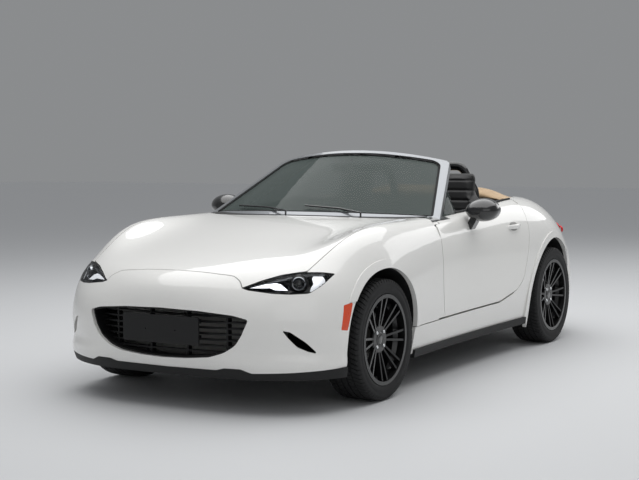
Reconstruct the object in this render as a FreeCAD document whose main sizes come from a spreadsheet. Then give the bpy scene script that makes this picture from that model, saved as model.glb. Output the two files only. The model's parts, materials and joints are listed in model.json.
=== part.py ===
"""Two-seat roadster with its top folded: body panels, cabin, running gear and every joint's pieces.

Frame: +X is the car's left, -Y its nose, +Z up, origin on the ground under the middle of the car.
Body curves are drawn in design coordinates (x, s, z): x from the centre plane, s behind the front
axle and z above the ground.
"""
import FreeCAD
import Part
import Sketcher
import math
import os

Vector = FreeCAD.Vector

SIZES = {
    "front_overhang": 744, "wheelbase": 2310, "rear_overhang": 858,
    "body_width": 1735, "waist_height": 950, "sill_height": 185,
    "front_track": 1495, "rear_track": 1505,
    "tyre_radius": 308, "tyre_width": 203, "rim_radius": 216, "rim_lip_radius": 229,
    "rim_depth": 196, "hub_face": 52, "hub_radius": 72, "lug_circle": 100, "lug_bore": 13,
    "hub_bore": 54, "spoke_thickness": 17, "disc_radius": 140, "disc_thickness": 22, "hat_radius": 78,
    "arch_radius": 352, "rear_arch_radius": 362, "arch_lift": 9, "lip_proud": 5, "lip_width": 42,
    "panel_gap": 5, "panel_thickness": 20, "cabin_half_width": 700,
    "door_inset": 15, "floor_thickness": 12, "floor_height": 165, "kingpin_inset": 48,
    "steering_wheel_radius": 183, "steering_wheel_grip": 15, "steering_rake": 24,
    "seat_spacing": 370, "seat_width": 480, "glass_thickness": 5, "screen_thickness": 38,
    "skirt_top": 206, "skirt_height": 42, "lip_drop": 14, "exhaust_radius": 22, "tailpipe_radius": 38,
    "hinge_pin": 8, "plate_bore": 6.6, "fit_gap": 0.3, "antenna_radius": 2.5, "antenna_length": 300,
    "engine_length": 520, "engine_width": 560, "engine_height": 500,
}

doc = FreeCAD.newDocument("roadster")
sheet = doc.addObject("Spreadsheet::Sheet", "sizes")
for row, (name, number) in enumerate(SIZES.items(), start=1):
    sheet.set(f"A{row}", name)
    sheet.set(f"B{row}", str(number))
    sheet.setAlias(f"B{row}", name)
doc.recompute()


class Size:
    """A size with its number and the sheet formula that it comes from."""

    def __init__(self, number, formula):
        self.number = float(number)
        self.formula = formula

    def join(self, other, sign, number):
        text = other.formula if isinstance(other, Size) else repr(float(other))
        return Size(number, f"({self.formula} {sign} {text})")

    def __float__(self):
        return self.number

    def __add__(self, other):
        return self.join(other, "+", self.number + float(other))

    def __sub__(self, other):
        return self.join(other, "-", self.number - float(other))

    def __mul__(self, other):
        return self.join(other, "*", self.number * float(other))

    def __truediv__(self, other):
        return self.join(other, "/", self.number / float(other))

    def __neg__(self):
        return Size(-self.number, f"(0 - {self.formula})")


class Cells:
    """Every size of the sheet by its name, as a Size."""

    def __getattr__(self, name):
        return Size(sheet.get(name), f"sizes.{name}")


class Numbers:
    """Every size of the sheet by its name, as a plain number."""

    def __getattr__(self, name):
        return float(sheet.get(name))


cell = Cells()
size = Numbers()

# The design net was drawn on these sizes, and it stretches with the ones in the sheet
NET_FRONT = 744.0
NET_WHEELBASE = 2310.0
NET_REAR = 845.0
NET_HALF_WIDTH = 867.5
NET_WAIST = 950.0
NET_SILL = 185.0

FRONT_AXLE = size.front_overhang - (size.front_overhang + size.wheelbase + size.rear_overhang) / 2
REAR_AXLE = FRONT_AXLE + size.wheelbase


def along(s):
    """Place along the car of a design distance behind the front axle."""
    if s < 0:
        return FRONT_AXLE + s * size.front_overhang / NET_FRONT
    if s > NET_WHEELBASE:
        return REAR_AXLE + (s - NET_WHEELBASE) * size.rear_overhang / NET_REAR
    return FRONT_AXLE + s * size.wheelbase / NET_WHEELBASE


def across(x):
    return x * size.body_width / 2 / NET_HALF_WIDTH


def up(z):
    """Height of a design height: the sill keeps its own height, the waist its own."""
    return size.sill_height + (z - NET_SILL) * (size.waist_height - size.sill_height) / (NET_WAIST - NET_SILL)


def at(x, s, z):
    """Point of the car's frame at a design place."""
    return Vector(across(x), along(s), up(z))


def mirrored(shape):
    return shape.mirror(Vector(0, 0, 0), Vector(1, 0, 0))


# Body surface


def station(s, points):
    return [(x, s, z) for x, z in points]


# Each station is a line of control points from the centre plane down to the sill edge
STATIONS = [
    [(0, -692, 185), (190, -690, 185), (370, -684, 185), (520, -650, 185), (640, -586, 185),
     (730, -520, 185), (782, -450, 185), (806, -382, 185), (812, -312, 185), (810, -245, 185),
     (806, -180, 185)],
    [(0, -722, 240), (195, -720, 240), (380, -716, 240), (532, -684, 240), (656, -612, 240),
     (748, -540, 240), (800, -466, 240), (824, -388, 238), (828, -304, 232), (822, -222, 220),
     (808, -156, 185)],
    [(0, -738, 302), (198, -732, 302), (384, -708, 302), (536, -650, 302), (654, -572, 300),
     (742, -500, 294), (792, -430, 286), (818, -356, 276), (828, -280, 262), (824, -202, 240),
     (810, -136, 185)],
    [(0, -742, 370), (200, -738, 370), (388, -722, 370), (542, -672, 368), (664, -592, 365),
     (756, -518, 358), (806, -440, 345), (828, -356, 325), (834, -266, 300), (830, -182, 262),
     (812, -116, 185)],
    [(0, -750, 500), (200, -743, 500), (388, -722, 498), (544, -668, 495), (668, -584, 488),
     (762, -500, 472), (814, -412, 445), (836, -320, 405), (844, -222, 360), (840, -142, 300),
     (815, -92, 185)],
    [(0, -732, 600), (198, -714, 600), (382, -664, 599), (535, -606, 598), (660, -540, 596),
     (752, -464, 584), (812, -370, 548), (842, -268, 484), (854, -168, 414), (848, -104, 328),
     (817, -66, 185)],
    [(0, -650, 668), (195, -634, 668), (375, -590, 668), (524, -540, 668), (650, -476, 668),
     (748, -396, 656), (816, -296, 610), (852, -196, 536), (864, -106, 450), (854, -66, 345),
     (819, -40, 185)],
    [(0, -500, 712), (200, -492, 712), (378, -466, 712), (520, -428, 716), (640, -372, 724),
     (745, -306, 716), (818, -222, 656), (858, -134, 568), (872, -60, 472), (860, -28, 356),
     (821, -14, 185)],
    [(0, -270, 762), (210, -268, 761), (390, -258, 759), (532, -240, 764), (650, -206, 800),
     (738, -164, 825), (818, -108, 738), (864, -46, 614), (878, -8, 502), (864, 8, 370),
     (822, 14, 185)],
    station(40, [(0, 814), (230, 812), (420, 808), (560, 818), (660, 860), (735, 888), (812, 812),
                 (862, 668), (878, 515), (862, 360), (822, 185)]),
    station(330, [(0, 858), (250, 856), (450, 852), (590, 856), (690, 881), (762, 880), (826, 798),
                  (856, 668), (860, 515), (846, 355), (806, 185)]),
    station(640, [(0, 890), (270, 888), (470, 882), (615, 880), (715, 884), (784, 868), (828, 802),
                  (848, 688), (846, 530), (830, 360), (796, 185)]),
    station(1000, [(0, 906), (280, 902), (480, 896), (624, 893), (724, 890), (786, 868), (822, 804),
                   (840, 690), (838, 530), (822, 358), (790, 185)]),
    station(1450, [(0, 930), (280, 927), (478, 920), (620, 916), (722, 912), (784, 892), (824, 826),
                   (842, 706), (842, 540), (826, 362), (790, 185)]),
    station(1880, [(0, 952), (270, 952), (465, 954), (610, 960), (706, 960), (774, 930), (822, 858),
                   (852, 736), (856, 566), (840, 378), (800, 185)]),
    station(2310, [(0, 934), (250, 935), (440, 940), (590, 950), (694, 940), (776, 888), (838, 798),
                   (873, 680), (878, 540), (858, 372), (815, 185)]),
    station(2640, [(0, 888), (240, 888), (420, 882), (556, 868), (652, 838), (732, 778), (790, 696),
                   (826, 598), (838, 494), (824, 350), (785, 185)]),
    [(0, 2892, 842), (230, 2888, 841), (400, 2874, 832), (528, 2850, 810), (618, 2818, 772),
     (690, 2784, 718), (742, 2758, 650), (774, 2740, 572), (788, 2730, 478), (780, 2724, 350),
     (751, 2706, 185)],
    [(0, 3060, 795), (225, 3050, 794), (390, 3028, 787), (515, 2994, 770), (605, 2950, 736),
     (672, 2902, 686), (720, 2860, 622), (751, 2826, 552), (764, 2800, 465), (760, 2780, 345),
     (744, 2738, 185)],
    [(0, 3120, 735), (225, 3108, 734), (392, 3080, 728), (518, 3038, 714), (610, 2986, 688),
     (680, 2930, 645), (728, 2880, 592), (758, 2840, 527), (770, 2808, 446), (766, 2784, 338),
     (743, 2748, 185)],
    [(0, 3150, 600), (230, 3138, 600), (400, 3108, 598), (528, 3062, 592), (622, 3006, 576),
     (692, 2946, 546), (738, 2892, 504), (766, 2848, 452), (776, 2814, 390), (770, 2788, 312),
     (743, 2756, 185)],
    [(0, 3165, 450), (232, 3152, 450), (404, 3120, 448), (533, 3072, 446), (628, 3014, 438),
     (697, 2952, 420), (742, 2896, 394), (768, 2851, 362), (777, 2816, 322), (770, 2790, 272),
     (744, 2762, 185)],
    [(0, 3150, 300), (228, 3138, 300), (398, 3106, 300), (526, 3060, 298), (620, 3004, 294),
     (690, 2944, 288), (736, 2892, 278), (763, 2850, 265), (773, 2817, 248), (768, 2791, 228),
     (745, 2768, 185)],
    [(0, 3090, 185), (220, 3080, 185), (385, 3052, 185), (510, 3010, 185), (602, 2960, 185),
     (670, 2908, 185), (716, 2864, 185), (744, 2830, 185), (757, 2805, 185), (758, 2788, 185),
     (746, 2775, 185)],
]


def full_net():
    """The net over the whole width, from the right sill over the roofline to the left sill."""
    net = []
    for line in STATIONS:
        left = [at(*point) for point in line]
        right = [Vector(-point.x, point.y, point.z) for point in reversed(left[1:])]
        net.append(right + left)
    return net


def knots(count):
    """Evenly spaced knots of a clamped cubic with this many control points."""
    inner = count - 2
    return [float(place) for place in range(inner)], [4] + [1] * (inner - 2) + [4]


def net_surface(net):
    surface = Part.BSplineSurface()
    u_knots, u_counts = knots(len(net))
    v_knots, v_counts = knots(len(net[0]))
    surface.buildFromPolesMultsKnots(net, u_counts, v_counts, u_knots, v_knots, False, False, 3, 3)
    return surface


def net_place(index, count):
    """Parameter where this control point pulls most."""
    flat = [0.0] * 3 + [float(place) for place in range(count - 2)] + [float(count - 3)] * 3
    return sum(flat[index + 1:index + 4]) / 3


CORNER = 4


def sunk_net(net, surface, depth):
    """The net moved inwards, its open lower edge drawn on below the outer one."""
    sunk = []
    rows = len(net)
    columns = len(net[0])
    drop = 3 * size.panel_thickness
    for i, line in enumerate(net):
        new_line = []
        for j, point in enumerate(line):
            normal = surface.normal(net_place(i, rows), net_place(j, columns))
            if normal.dot(point - Vector(0, point.y * 0.6, size.sill_height)) < 0:
                normal = -normal
            moved = point - normal * depth
            if i == 0 and CORNER <= j < columns - CORNER:
                run = point - net[1][j]
                moved = moved + run * ((moved.z - point.z + drop) / -run.z)
            if i in (0, rows - 1):
                moved.z = point.z - drop
            new_line.append(moved)
        for edge, beside in ((0, 1), (columns - 1, columns - 2)):
            shift = new_line[beside] - line[beside]
            new_line[edge] = line[edge] + Vector(shift.x, shift.y, -drop)
        sunk.append(new_line)
    return sunk


def solid_under(surface):
    skin = surface.toShape()
    base = Part.Face(Part.Wire(Part.__sortEdges__(skin.Edges)))
    solid = Part.Solid(Part.Shell([skin, base]))
    if solid.Volume < 0:
        solid.reverse()
    return solid


NET = full_net()
SURFACE = net_surface(NET)
outer_body = solid_under(SURFACE)
inner_body = solid_under(net_surface(sunk_net(NET, SURFACE, size.panel_thickness)))
body_shell = outer_body.cut(inner_body)
inside_body = solid_under(net_surface(sunk_net(NET, SURFACE, size.panel_thickness + 1)))

# Zones of the body: flat outlines drawn through the car


def rounded(points, radii):
    """Closed wire through the points, each corner turned with its own radius."""
    count = len(points)
    starts = []
    ends = []
    middles = []
    for i, corner in enumerate(points):
        back = (points[i - 1] - corner)
        ahead = (points[(i + 1) % count] - corner)
        reach = min(back.Length, ahead.Length) * 0.49
        back.normalize()
        ahead.normalize()
        half_angle = back.getAngle(ahead) / 2
        radius = radii[i]
        if radius <= 0 or half_angle > math.radians(89.5):
            starts.append(corner)
            ends.append(corner)
            middles.append(None)
            continue
        length = min(radius / math.tan(half_angle), reach)
        radius = length * math.tan(half_angle)
        bisector = (back + ahead).normalize()
        starts.append(corner + back * length)
        ends.append(corner + ahead * length)
        middles.append(corner + bisector * (radius / math.sin(half_angle) - radius))
    edges = []
    for i in range(count):
        if middles[i] is not None:
            edges.append(Part.Arc(starts[i], middles[i], ends[i]).toShape())
        after = (i + 1) % count
        if (starts[after] - ends[i]).Length > 0.01:
            edges.append(Part.makeLine(ends[i], starts[after]))
    return Part.Wire(edges)


def prism(points, radii, push, grow=0.0):
    """Solid of a flat outline, widened by a gap and pushed through the body."""
    face = Part.Face(rounded(points, radii))
    if abs(grow) > 1e-6:
        face = face.makeOffset2D(grow)
    return face.extrude(push)


def side_zone(corners, x_from, x_to, grow=0.0):
    points = [Vector(x_from, along(s), up(z)) for s, z, _ in corners]
    return prism(points, [corner[2] for corner in corners], Vector(x_to - x_from, 0, 0), grow)


def plan_zone(corners, z_from, z_to, grow=0.0):
    points = [Vector(across(x), along(s), z_from) for x, s, _ in corners]
    return prism(points, [corner[2] for corner in corners], Vector(0, 0, z_to - z_from), grow)


def front_zone(corners, y_from, y_to, grow=0.0):
    points = [Vector(across(x), y_from, up(z)) for x, z, _ in corners]
    return prism(points, [corner[2] for corner in corners], Vector(0, y_to - y_from, 0), grow)


def both_sides(half):
    """Closed outline of a half that starts and ends on the centre plane."""
    right = [(-x, other, radius) for x, other, radius in reversed(half) if x > 0]
    return half + right


def tilted_zone(places, radii, axis, reach, grow=0.0):
    """Prism along an axis through design places that are first laid on one plane."""
    direction = Vector(axis).normalize()
    points = [at(*place) for place in places]
    centre = Vector(0, 0, 0)
    for point in points:
        centre = centre + point * (1.0 / len(points))
    flat = [point - direction * (point - centre).dot(direction) - direction * reach for point in points]
    return prism(flat, radii, direction * (2 * reach), grow)


HOOD_HALF = [(0, -612, 0), (250, -608, 300), (340, -600, 60), (385, -617, 40), (411, -637, 0),
             (440, -626, 0), (486, -598, 0), (559, -555, 0), (640, -490, 0), (655, -420, 300),
             (678, -252, 600), (700, -61, 900), (714, 173, 900), (716, 420, 700), (690, 640, 30),
             (400, 604, 1500), (0, 590, 0)]
LAMP_PLACES = [(413, -639, 604), (486, -581, 637), (559, -517, 662), (651, -442, 677), (709, -395, 675),
               (755, -347, 666), (734, -440, 614), (700, -504, 581), (629, -559, 578), (556, -598, 582),
               (442, -635, 596)]
LAMP_RADII = [2, 300, 300, 300, 200, 3, 60, 40, 200, 300, 30]
LAMP_AXIS = (0.52, -0.84, 0.12)
MOUTH_HALF = [(0, 503, 0), (220, 497, 800), (400, 482, 300), (473, 463, 18), (468, 444, 16), (443, 386, 100),
              (410, 337, 100), (350, 300, 150), (270, 275, 200), (130, 262, 400), (0, 258, 0)]
INTAKE_PLACES = [(619, -617, 413), (650, -594, 405), (709, -546, 353), (742, -509, 306), (738, -513, 300),
                 (714, -535, 308), (673, -570, 332), (645, -597, 371)]
INTAKE_RADII = [3, 40, 200, 6, 4, 40, 60, 100]
INTAKE_AXIS = (0.5, -0.86, 0.05)
MARKER = [(-366, 518, 6), (-304, 528, 6), (-355, 396, 6), (-398, 402, 6)]
DOOR = [(694, 1000, 0), (668, 700, 400), (676, 520, 400), (734, 337, 60), (1500, 345, 400),
        (1742, 394, 70), (1822, 452, 70), (1896, 710, 400), (1908, 1000, 0)]
BUMPER_LINE = [(-900, 100, 0), (-900, 900, 0), (-560, 900, 0), (-500, 640, 0), (-400, 664, 0), (-349, 667, 0),
               (-264, 651, 600), (-165, 629, 0), (-60, 600, 0), (-60, 100, 0)]
LOWER_EDGE = [(0, 211, 0), (300, 214, 60), (345, 226, 30), (430, 226, 40), (480, 206, 40), (650, 211, 900),
              (900, 226, 0), (900, 100, 0), (0, 100, 0)]
CABIN_HALF = [(0, 664, 0), (600, 676, 60), (704, 800, 120), (712, 1450, 900), (704, 1950, 260),
              (610, 2290, 90), (560, 2325, 20), (0, 2325, 0)]
COWL_HALF = [(0, 596, 0), (400, 610, 1500), (672, 646, 20), (700, 800, 20), (400, 760, 0), (0, 700, 0)]
DECK_HALF = [(0, 2300, 0), (566, 2300, 20), (545, 2552, 20), (0, 2552, 0)]
LID_HALF = [(0, 2556, 0), (430, 2566, 300), (512, 2620, 80), (540, 2900, 300), (505, 3300, 0), (0, 3300, 0)]
LID_EDGE_HEIGHT = 655
REAR_BUMPER = [(2400, 100, 0), (2400, 560, 0), (2600, 588, 80), (2850, 640, 120), (3000, 660, 60),
               (3400, 660, 0), (3400, 100, 0)]
TAIL_PLACES = [(525, 3040, 745), (600, 2960, 766), (700, 2840, 735), (762, 2745, 690), (716, 2880, 640),
               (600, 3030, 632), (540, 3075, 660)]
TAIL_RADII = [30, 80, 80, 6, 80, 60, 30]
TAIL_AXIS = (0.5, 0.85, 0.15)

ROCKER = [(330, 100, 0), (330, 330, 0), (700, 332, 0), (1510, 340, 200), (1745, 388, 70), (1990, 470, 0),
          (1990, 100, 0)]

GAP = size.panel_gap
FLOOR = size.floor_height
WALL = size.floor_thickness
HALF = size.cabin_half_width
FAR = 2 * size.body_width
AXLE_HEIGHT = size.tyre_radius
HINGE_X = across(815)
HINGE_BACK = 64
HINGE_LEAF = 28
DOOR_HINGE_Y = along(668) + HINGE_BACK
HINGE_HEIGHTS = (up(470), up(730))
PLATE = 8

hood_prism = plan_zone(both_sides(HOOD_HALF), 0, FAR, -GAP / 2)
hood_hole = plan_zone(both_sides(HOOD_HALF), 0, FAR, GAP / 2)
lid_prism = plan_zone(both_sides(LID_HALF), up(LID_EDGE_HEIGHT) + GAP / 2, FAR, -GAP / 2)
lid_hole = plan_zone(both_sides(LID_HALF), up(LID_EDGE_HEIGHT) - GAP / 2, FAR, GAP / 2)
cabin_hole = plan_zone(both_sides(CABIN_HALF), up(560), FAR)
deck_prism = plan_zone(both_sides(DECK_HALF), up(560), FAR)
cowl_prism = plan_zone(both_sides(COWL_HALF), up(560), FAR)
lamp_hole = tilted_zone(LAMP_PLACES, LAMP_RADII, LAMP_AXIS, 400)
lamp_prism = tilted_zone(LAMP_PLACES, LAMP_RADII, LAMP_AXIS, 400, -size.fit_gap)
lamp_clearance = tilted_zone(LAMP_PLACES, LAMP_RADII, LAMP_AXIS, 400, GAP)
UNDER_LAMP = LAMP_PLACES[:4] + [(651, -442, 450), (413, -639, 450)]
under_lamp = tilted_zone(UNDER_LAMP, LAMP_RADII[:4] + [0, 0], LAMP_AXIS, 400, GAP)
below_bumper = front_zone(both_sides(LOWER_EDGE), -FAR, FRONT_AXLE)
lip_zone = front_zone(both_sides(LOWER_EDGE), -FAR, FRONT_AXLE, -size.fit_gap)
tail_hole = tilted_zone(TAIL_PLACES, TAIL_RADII, TAIL_AXIS, 260)
tail_prism = tilted_zone(TAIL_PLACES, TAIL_RADII, TAIL_AXIS, 260, -size.fit_gap)
intake_hole = tilted_zone(INTAKE_PLACES, INTAKE_RADII, INTAKE_AXIS, 200)
marker_hole = side_zone(MARKER, across(740), FAR)
marker_prism = side_zone(MARKER, across(740), FAR, -size.fit_gap)
door_hole = side_zone(DOOR, size.cabin_half_width - 60, FAR, GAP / 2)
bumper_front_zone = side_zone(BUMPER_LINE, -FAR, FAR)
rear_bumper_zone = side_zone(REAR_BUMPER, -FAR, FAR)


def box(x_from, y_from, z_from, x_to, y_to, z_to):
    return Part.makeBox(x_to - x_from, y_to - y_from, z_to - z_from, Vector(x_from, y_from, z_from))


def arch_hole(axle_y, radius, x_from, x_to):
    """Round wheel opening, straight below its centre."""
    centre = AXLE_HEIGHT + size.arch_lift
    ring = Part.makeCylinder(radius, x_to - x_from, Vector(x_from, axle_y, centre), Vector(1, 0, 0))
    below = box(x_from, axle_y - radius, 0, x_to, axle_y + radius, centre)
    return ring.fuse(below)


def arch_band(axle_y, radius):
    """Rolled lip round the wheel opening, standing a little proud of the panel."""
    centre = AXLE_HEIGHT + size.arch_lift
    wide = Part.makeCylinder(radius + size.lip_width, FAR, Vector(0, axle_y, centre), Vector(1, 0, 0))
    below = box(0, axle_y - radius - size.lip_width, up(NET_SILL), FAR,
                axle_y + radius + size.lip_width, centre)
    return wide.fuse(below).cut(arch_hole(axle_y, radius, -1, FAR + 1))


front_arch = arch_hole(FRONT_AXLE, size.arch_radius, across(420), FAR)
rear_arch = arch_hole(REAR_AXLE, size.rear_arch_radius, across(420), FAR)
proud_body = solid_under(net_surface(sunk_net(NET, SURFACE, -size.lip_proud)))
left_half = box(0, -FAR * 2, 0, FAR, FAR * 2, FAR)
left_shell = body_shell.common(left_half)


def arm(points, width, thickness):
    """Flat arm through the points, seen from above."""
    edges = []
    for start, end in zip(points, points[1:]):
        run = end - start
        side_way = Vector(-run.y, run.x, 0).normalize() * (width / 2)
        wire = Part.makePolygon([start - side_way, end - side_way, end + side_way, start + side_way,
                                 start - side_way])
        edges.append(Part.Face(wire).extrude(Vector(0, 0, thickness)))
        edges.append(Part.makeCylinder(width / 2, thickness, end))
    return edges[0].fuse(edges[1:])


def tube(points, radius, bend):
    """Round tube along straight runs with a bend at each inner point."""
    spine = rounded_line(points, bend)
    start = points[0]
    ring = Part.Wire(Part.makeCircle(radius, start, points[1] - start))
    return spine.makePipeShell([ring], True, True)


def rounded_line(points, bend):
    edges = []
    last = points[0]
    for i in range(1, len(points) - 1):
        corner = points[i]
        back = points[i - 1] - corner
        ahead = points[i + 1] - corner
        reach = min(back.Length, ahead.Length) * 0.48
        back.normalize()
        ahead.normalize()
        half_angle = back.getAngle(ahead) / 2
        length = min(bend / math.tan(half_angle), reach)
        radius = length * math.tan(half_angle)
        bisector = (back + ahead).normalize()
        start = corner + back * length
        end = corner + ahead * length
        middle = corner + bisector * (radius / math.sin(half_angle) - radius)
        edges.append(Part.makeLine(last, start))
        edges.append(Part.Arc(start, middle, end).toShape())
        last = end
    edges.append(Part.makeLine(last, points[-1]))
    return Part.Wire(edges)


# Pieces of the document

pieces = {}


def keep(name, shape):
    """A piece whose form is worked out here, as an object of the document."""
    piece = doc.addObject("Part::Feature", name)
    piece.Label = name
    piece.Shape = shape
    pieces[name] = piece
    return piece


def one_solid(shape):
    """The largest solid of a result, without slivers."""
    return max(shape.Solids, key=lambda solid: solid.Volume)


def pair(name, shape):
    """The same piece on the left and on the right."""
    keep(f"{name}_left", shape)
    keep(f"{name}_right", mirrored(shape))


# Windscreen: one curved slab, parted into a frame and its glass


def arc_through(left, middle):
    return Part.Arc(left, middle, Vector(-left.x, left.y, left.z)).toShape()


def screen_surface(wider):
    """Curved face from the cowl to the header, a little wider where clearance is cut with it."""
    base_arc = arc_through(at(768 + wider, 783, 868), at(0, 622, 886))
    head_arc = arc_through(at(575 + wider, 1325, 1180), at(0, 1240, 1247))
    return Part.makeRuledSurface(base_arc, head_arc)


slope = (at(0, 1290, 1200) - at(0, 720, 884)).normalize()
screen_normal = Vector(0, -slope.z, slope.y)
slab = screen_surface(0).extrude(-screen_normal * size.screen_thickness)
slab_clearance = screen_surface(GAP).translated(screen_normal * GAP)
slab_clearance = slab_clearance.extrude(-screen_normal * (size.screen_thickness + 2 * GAP))
OUTER_PLACES = [(-857, 568, 742), (857, 568, 742), (588, 1345, 1190), (300, 1275, 1243), (0, 1250, 1258),
                (-300, 1275, 1243), (-588, 1345, 1190)]
OUTER_RADII = [0, 0, 120, 2500, 2500, 2500, 120]
GLASS_PLACES = [(-726, 792, 878), (-400, 688, 892), (0, 643, 896), (400, 688, 892), (726, 792, 878),
                (537, 1298, 1165), (300, 1237, 1214), (0, 1214, 1232), (-300, 1237, 1214),
                (-537, 1298, 1165)]
GLASS_RADII = [20, 2500, 2500, 2500, 20, 70, 1800, 1800, 1800, 70]
slab = slab.common(tilted_zone(OUTER_PLACES, OUTER_RADII, screen_normal, 300))
screen_hole = tilted_zone(GLASS_PLACES, GLASS_RADII, screen_normal, 300)
glass_prism = tilted_zone(GLASS_PLACES, GLASS_RADII, screen_normal, 300, -size.fit_gap)
keep("windscreen_frame", one_solid(slab.cut(screen_hole)))
glass_slab = screen_surface(0).translated(-screen_normal * 8).extrude(-screen_normal * size.glass_thickness)
keep("windscreen", one_solid(glass_slab.common(glass_prism)))

# Outer panels

hood_cuts = [lamp_clearance, mirrored(lamp_clearance), under_lamp, mirrored(under_lamp)]
hood = one_solid(body_shell.common(hood_prism).cut(hood_cuts))
keep("hood", hood)

top_holes = hood_hole.fuse([cabin_hole, cowl_prism, lid_hole, deck_prism])

SWEEP_RADIUS = math.hypot(HINGE_BACK, HINGE_LEAF) + GAP
door_sweep = Part.makeCylinder(SWEEP_RADIUS, FAR, Vector(HINGE_X, DOOR_HINGE_Y, up(320)))
fender_zone = box(across(630), along(-500), up(205), FAR, along(700), FAR)
rocker_hole = side_zone(ROCKER, size.cabin_half_width - 60, FAR, GAP / 2)
fender = left_shell.common(fender_zone).cut(bumper_front_zone)
fender = fender.cut([top_holes, lamp_hole, door_hole, door_sweep, rocker_hole])
front_lip_band = proud_body.cut(inner_body).common(arch_band(FRONT_AXLE, size.arch_radius))
front_lip_band = front_lip_band.common(box(across(600), along(-500), up(205), FAR, along(640), FAR))
front_lip_band = front_lip_band.cut([bumper_front_zone, door_hole, rocker_hole])
fender = fender.fuse(front_lip_band).cut([front_arch])
pair("fender", one_solid(fender))

front_bumper = body_shell.common(bumper_front_zone).cut(hood_hole).cut([lamp_hole, mirrored(lamp_hole)])
mouth_hole = front_zone(both_sides(MOUTH_HALF), along(-900), along(-520))
holes = [mouth_hole, intake_hole, mirrored(intake_hole), marker_hole, mirrored(marker_hole),
         front_arch, mirrored(front_arch), below_bumper]
bumper_lip_band = proud_body.cut(inner_body).common(arch_band(FRONT_AXLE, size.arch_radius))
bumper_lip_band = bumper_lip_band.common(bumper_front_zone)
bumper_lip_band = bumper_lip_band.common(box(across(600), -FAR, up(530), FAR, FAR, FAR))
front_bumper = front_bumper.fuse([bumper_lip_band, mirrored(bumper_lip_band)]).cut(holes)
keep("front_bumper", one_solid(front_bumper))

# Body side: the rocker under the door and the rear quarter in one pressing
rocker = outer_body.common(side_zone(ROCKER, size.cabin_half_width, FAR, -GAP / 2))
quarter = left_shell.common(box(0, along(1700), 0, FAR, along(3300), FAR)).cut(rear_bumper_zone)
pillar = outer_body.common(box(size.cabin_half_width, along(1800), up(330), FAR, along(1975), up(880)))
rear_lip_band = proud_body.cut(inner_body).common(arch_band(REAR_AXLE, size.rear_arch_radius))
rear_lip_band = rear_lip_band.common(box(across(600), along(1800), 0, FAR, along(2700), FAR))
rear_lip_band = rear_lip_band.cut(rear_bumper_zone)
side = quarter.fuse([rocker, pillar, rear_lip_band])
liner_room = arch_hole(REAR_AXLE, size.rear_arch_radius + 7, 0, FAR).common(inner_body)
skirt_room = box(0, along(372), 0, FAR, along(1925), up(size.skirt_top))
side = side.cut([top_holes, door_hole, tail_hole, rear_arch, front_arch, liner_room, skirt_room])
pair("body_side", one_solid(side))

rear_bumper = body_shell.common(rear_bumper_zone).cut([lid_hole, tail_hole, mirrored(tail_hole)])
bumper_seam = box(-FAR, along(2300), 0, FAR, along(2560), FAR)
tail_notch = front_zone([(190, 100, 0), (190, 296, 40), (410, 296, 40), (410, 100, 0)], along(2960), FAR)
rear_bumper = rear_bumper.cut([rear_arch, mirrored(rear_arch), bumper_seam, tail_notch])
keep("rear_bumper", one_solid(rear_bumper))

keep("trunk_lid", one_solid(body_shell.common(lid_prism).cut([tail_hole, mirrored(tail_hole)])))
deck = plan_zone(both_sides(DECK_HALF), up(560), FAR, -GAP / 2)
keep("rear_deck", one_solid(body_shell.common(deck).cut(lid_hole)))
cowl = plan_zone(both_sides(COWL_HALF), up(560), FAR, -size.fit_gap)
keep("cowl", one_solid(body_shell.common(cowl).cut(slab)))

# Doors: an outer skin to the shut line and an inner box set in from it
door_skin = side_zone(DOOR, size.cabin_half_width + 72, FAR, -GAP / 2)
door_box = side_zone(DOOR, size.cabin_half_width, size.cabin_half_width + 72, -GAP / 2 - size.door_inset)
door = outer_body.common(door_skin.fuse(door_box))
door = door.cut(box(0, along(600), 0, FAR, along(735), FAR).cut(box(HINGE_X - 22, along(600), 0, FAR,
                                                                along(735), FAR)))
PILLAR_REACH = 182
PILLAR_FOOT_X = across(776)
foot_sweep = Part.makeCylinder(PILLAR_REACH, FAR, Vector(HINGE_X, DOOR_HINGE_Y, up(822)))
foot_sweep = foot_sweep.common(box(0, -FAR, 0, PILLAR_FOOT_X, FAR, FAR))
door = one_solid(door.cut([slab_clearance, foot_sweep]))
for height in HINGE_HEIGHTS:
    pocket = Part.makeCylinder(78, PLATE + 10, Vector(HINGE_X, DOOR_HINGE_Y, height - 5))
    pocket = pocket.common(box(0, DOOR_HINGE_Y - 200, 0, HINGE_X + 12.5, DOOR_HINGE_Y + 200, FAR))
    bore = Part.makeCylinder(size.hinge_pin + size.fit_gap, 3 * PLATE + 10,
                             Vector(HINGE_X, DOOR_HINGE_Y, height - PLATE - 5))
    door = door.cut([pocket, bore])
pair("door", one_solid(door))

# Lamps, markers and the mouth's grille
LAMP_DEPTH = 90
TAIL_LAMP_DEPTH = 70
lamp = one_solid(outer_body.cut(solid_under(net_surface(sunk_net(NET, SURFACE, LAMP_DEPTH))))
                 .common(lamp_prism))
keep("headlamps", Part.makeCompound([lamp, mirrored(lamp)]))
tail = one_solid(outer_body.cut(solid_under(net_surface(sunk_net(NET, SURFACE, TAIL_LAMP_DEPTH))))
                 .common(tail_prism).cut(lid_hole))
keep("tail_lamps", Part.makeCompound([tail, mirrored(tail)]))
marker = one_solid(body_shell.common(marker_prism).cut(front_arch))
keep("side_markers", Part.makeCompound([marker, mirrored(marker)]))

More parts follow.
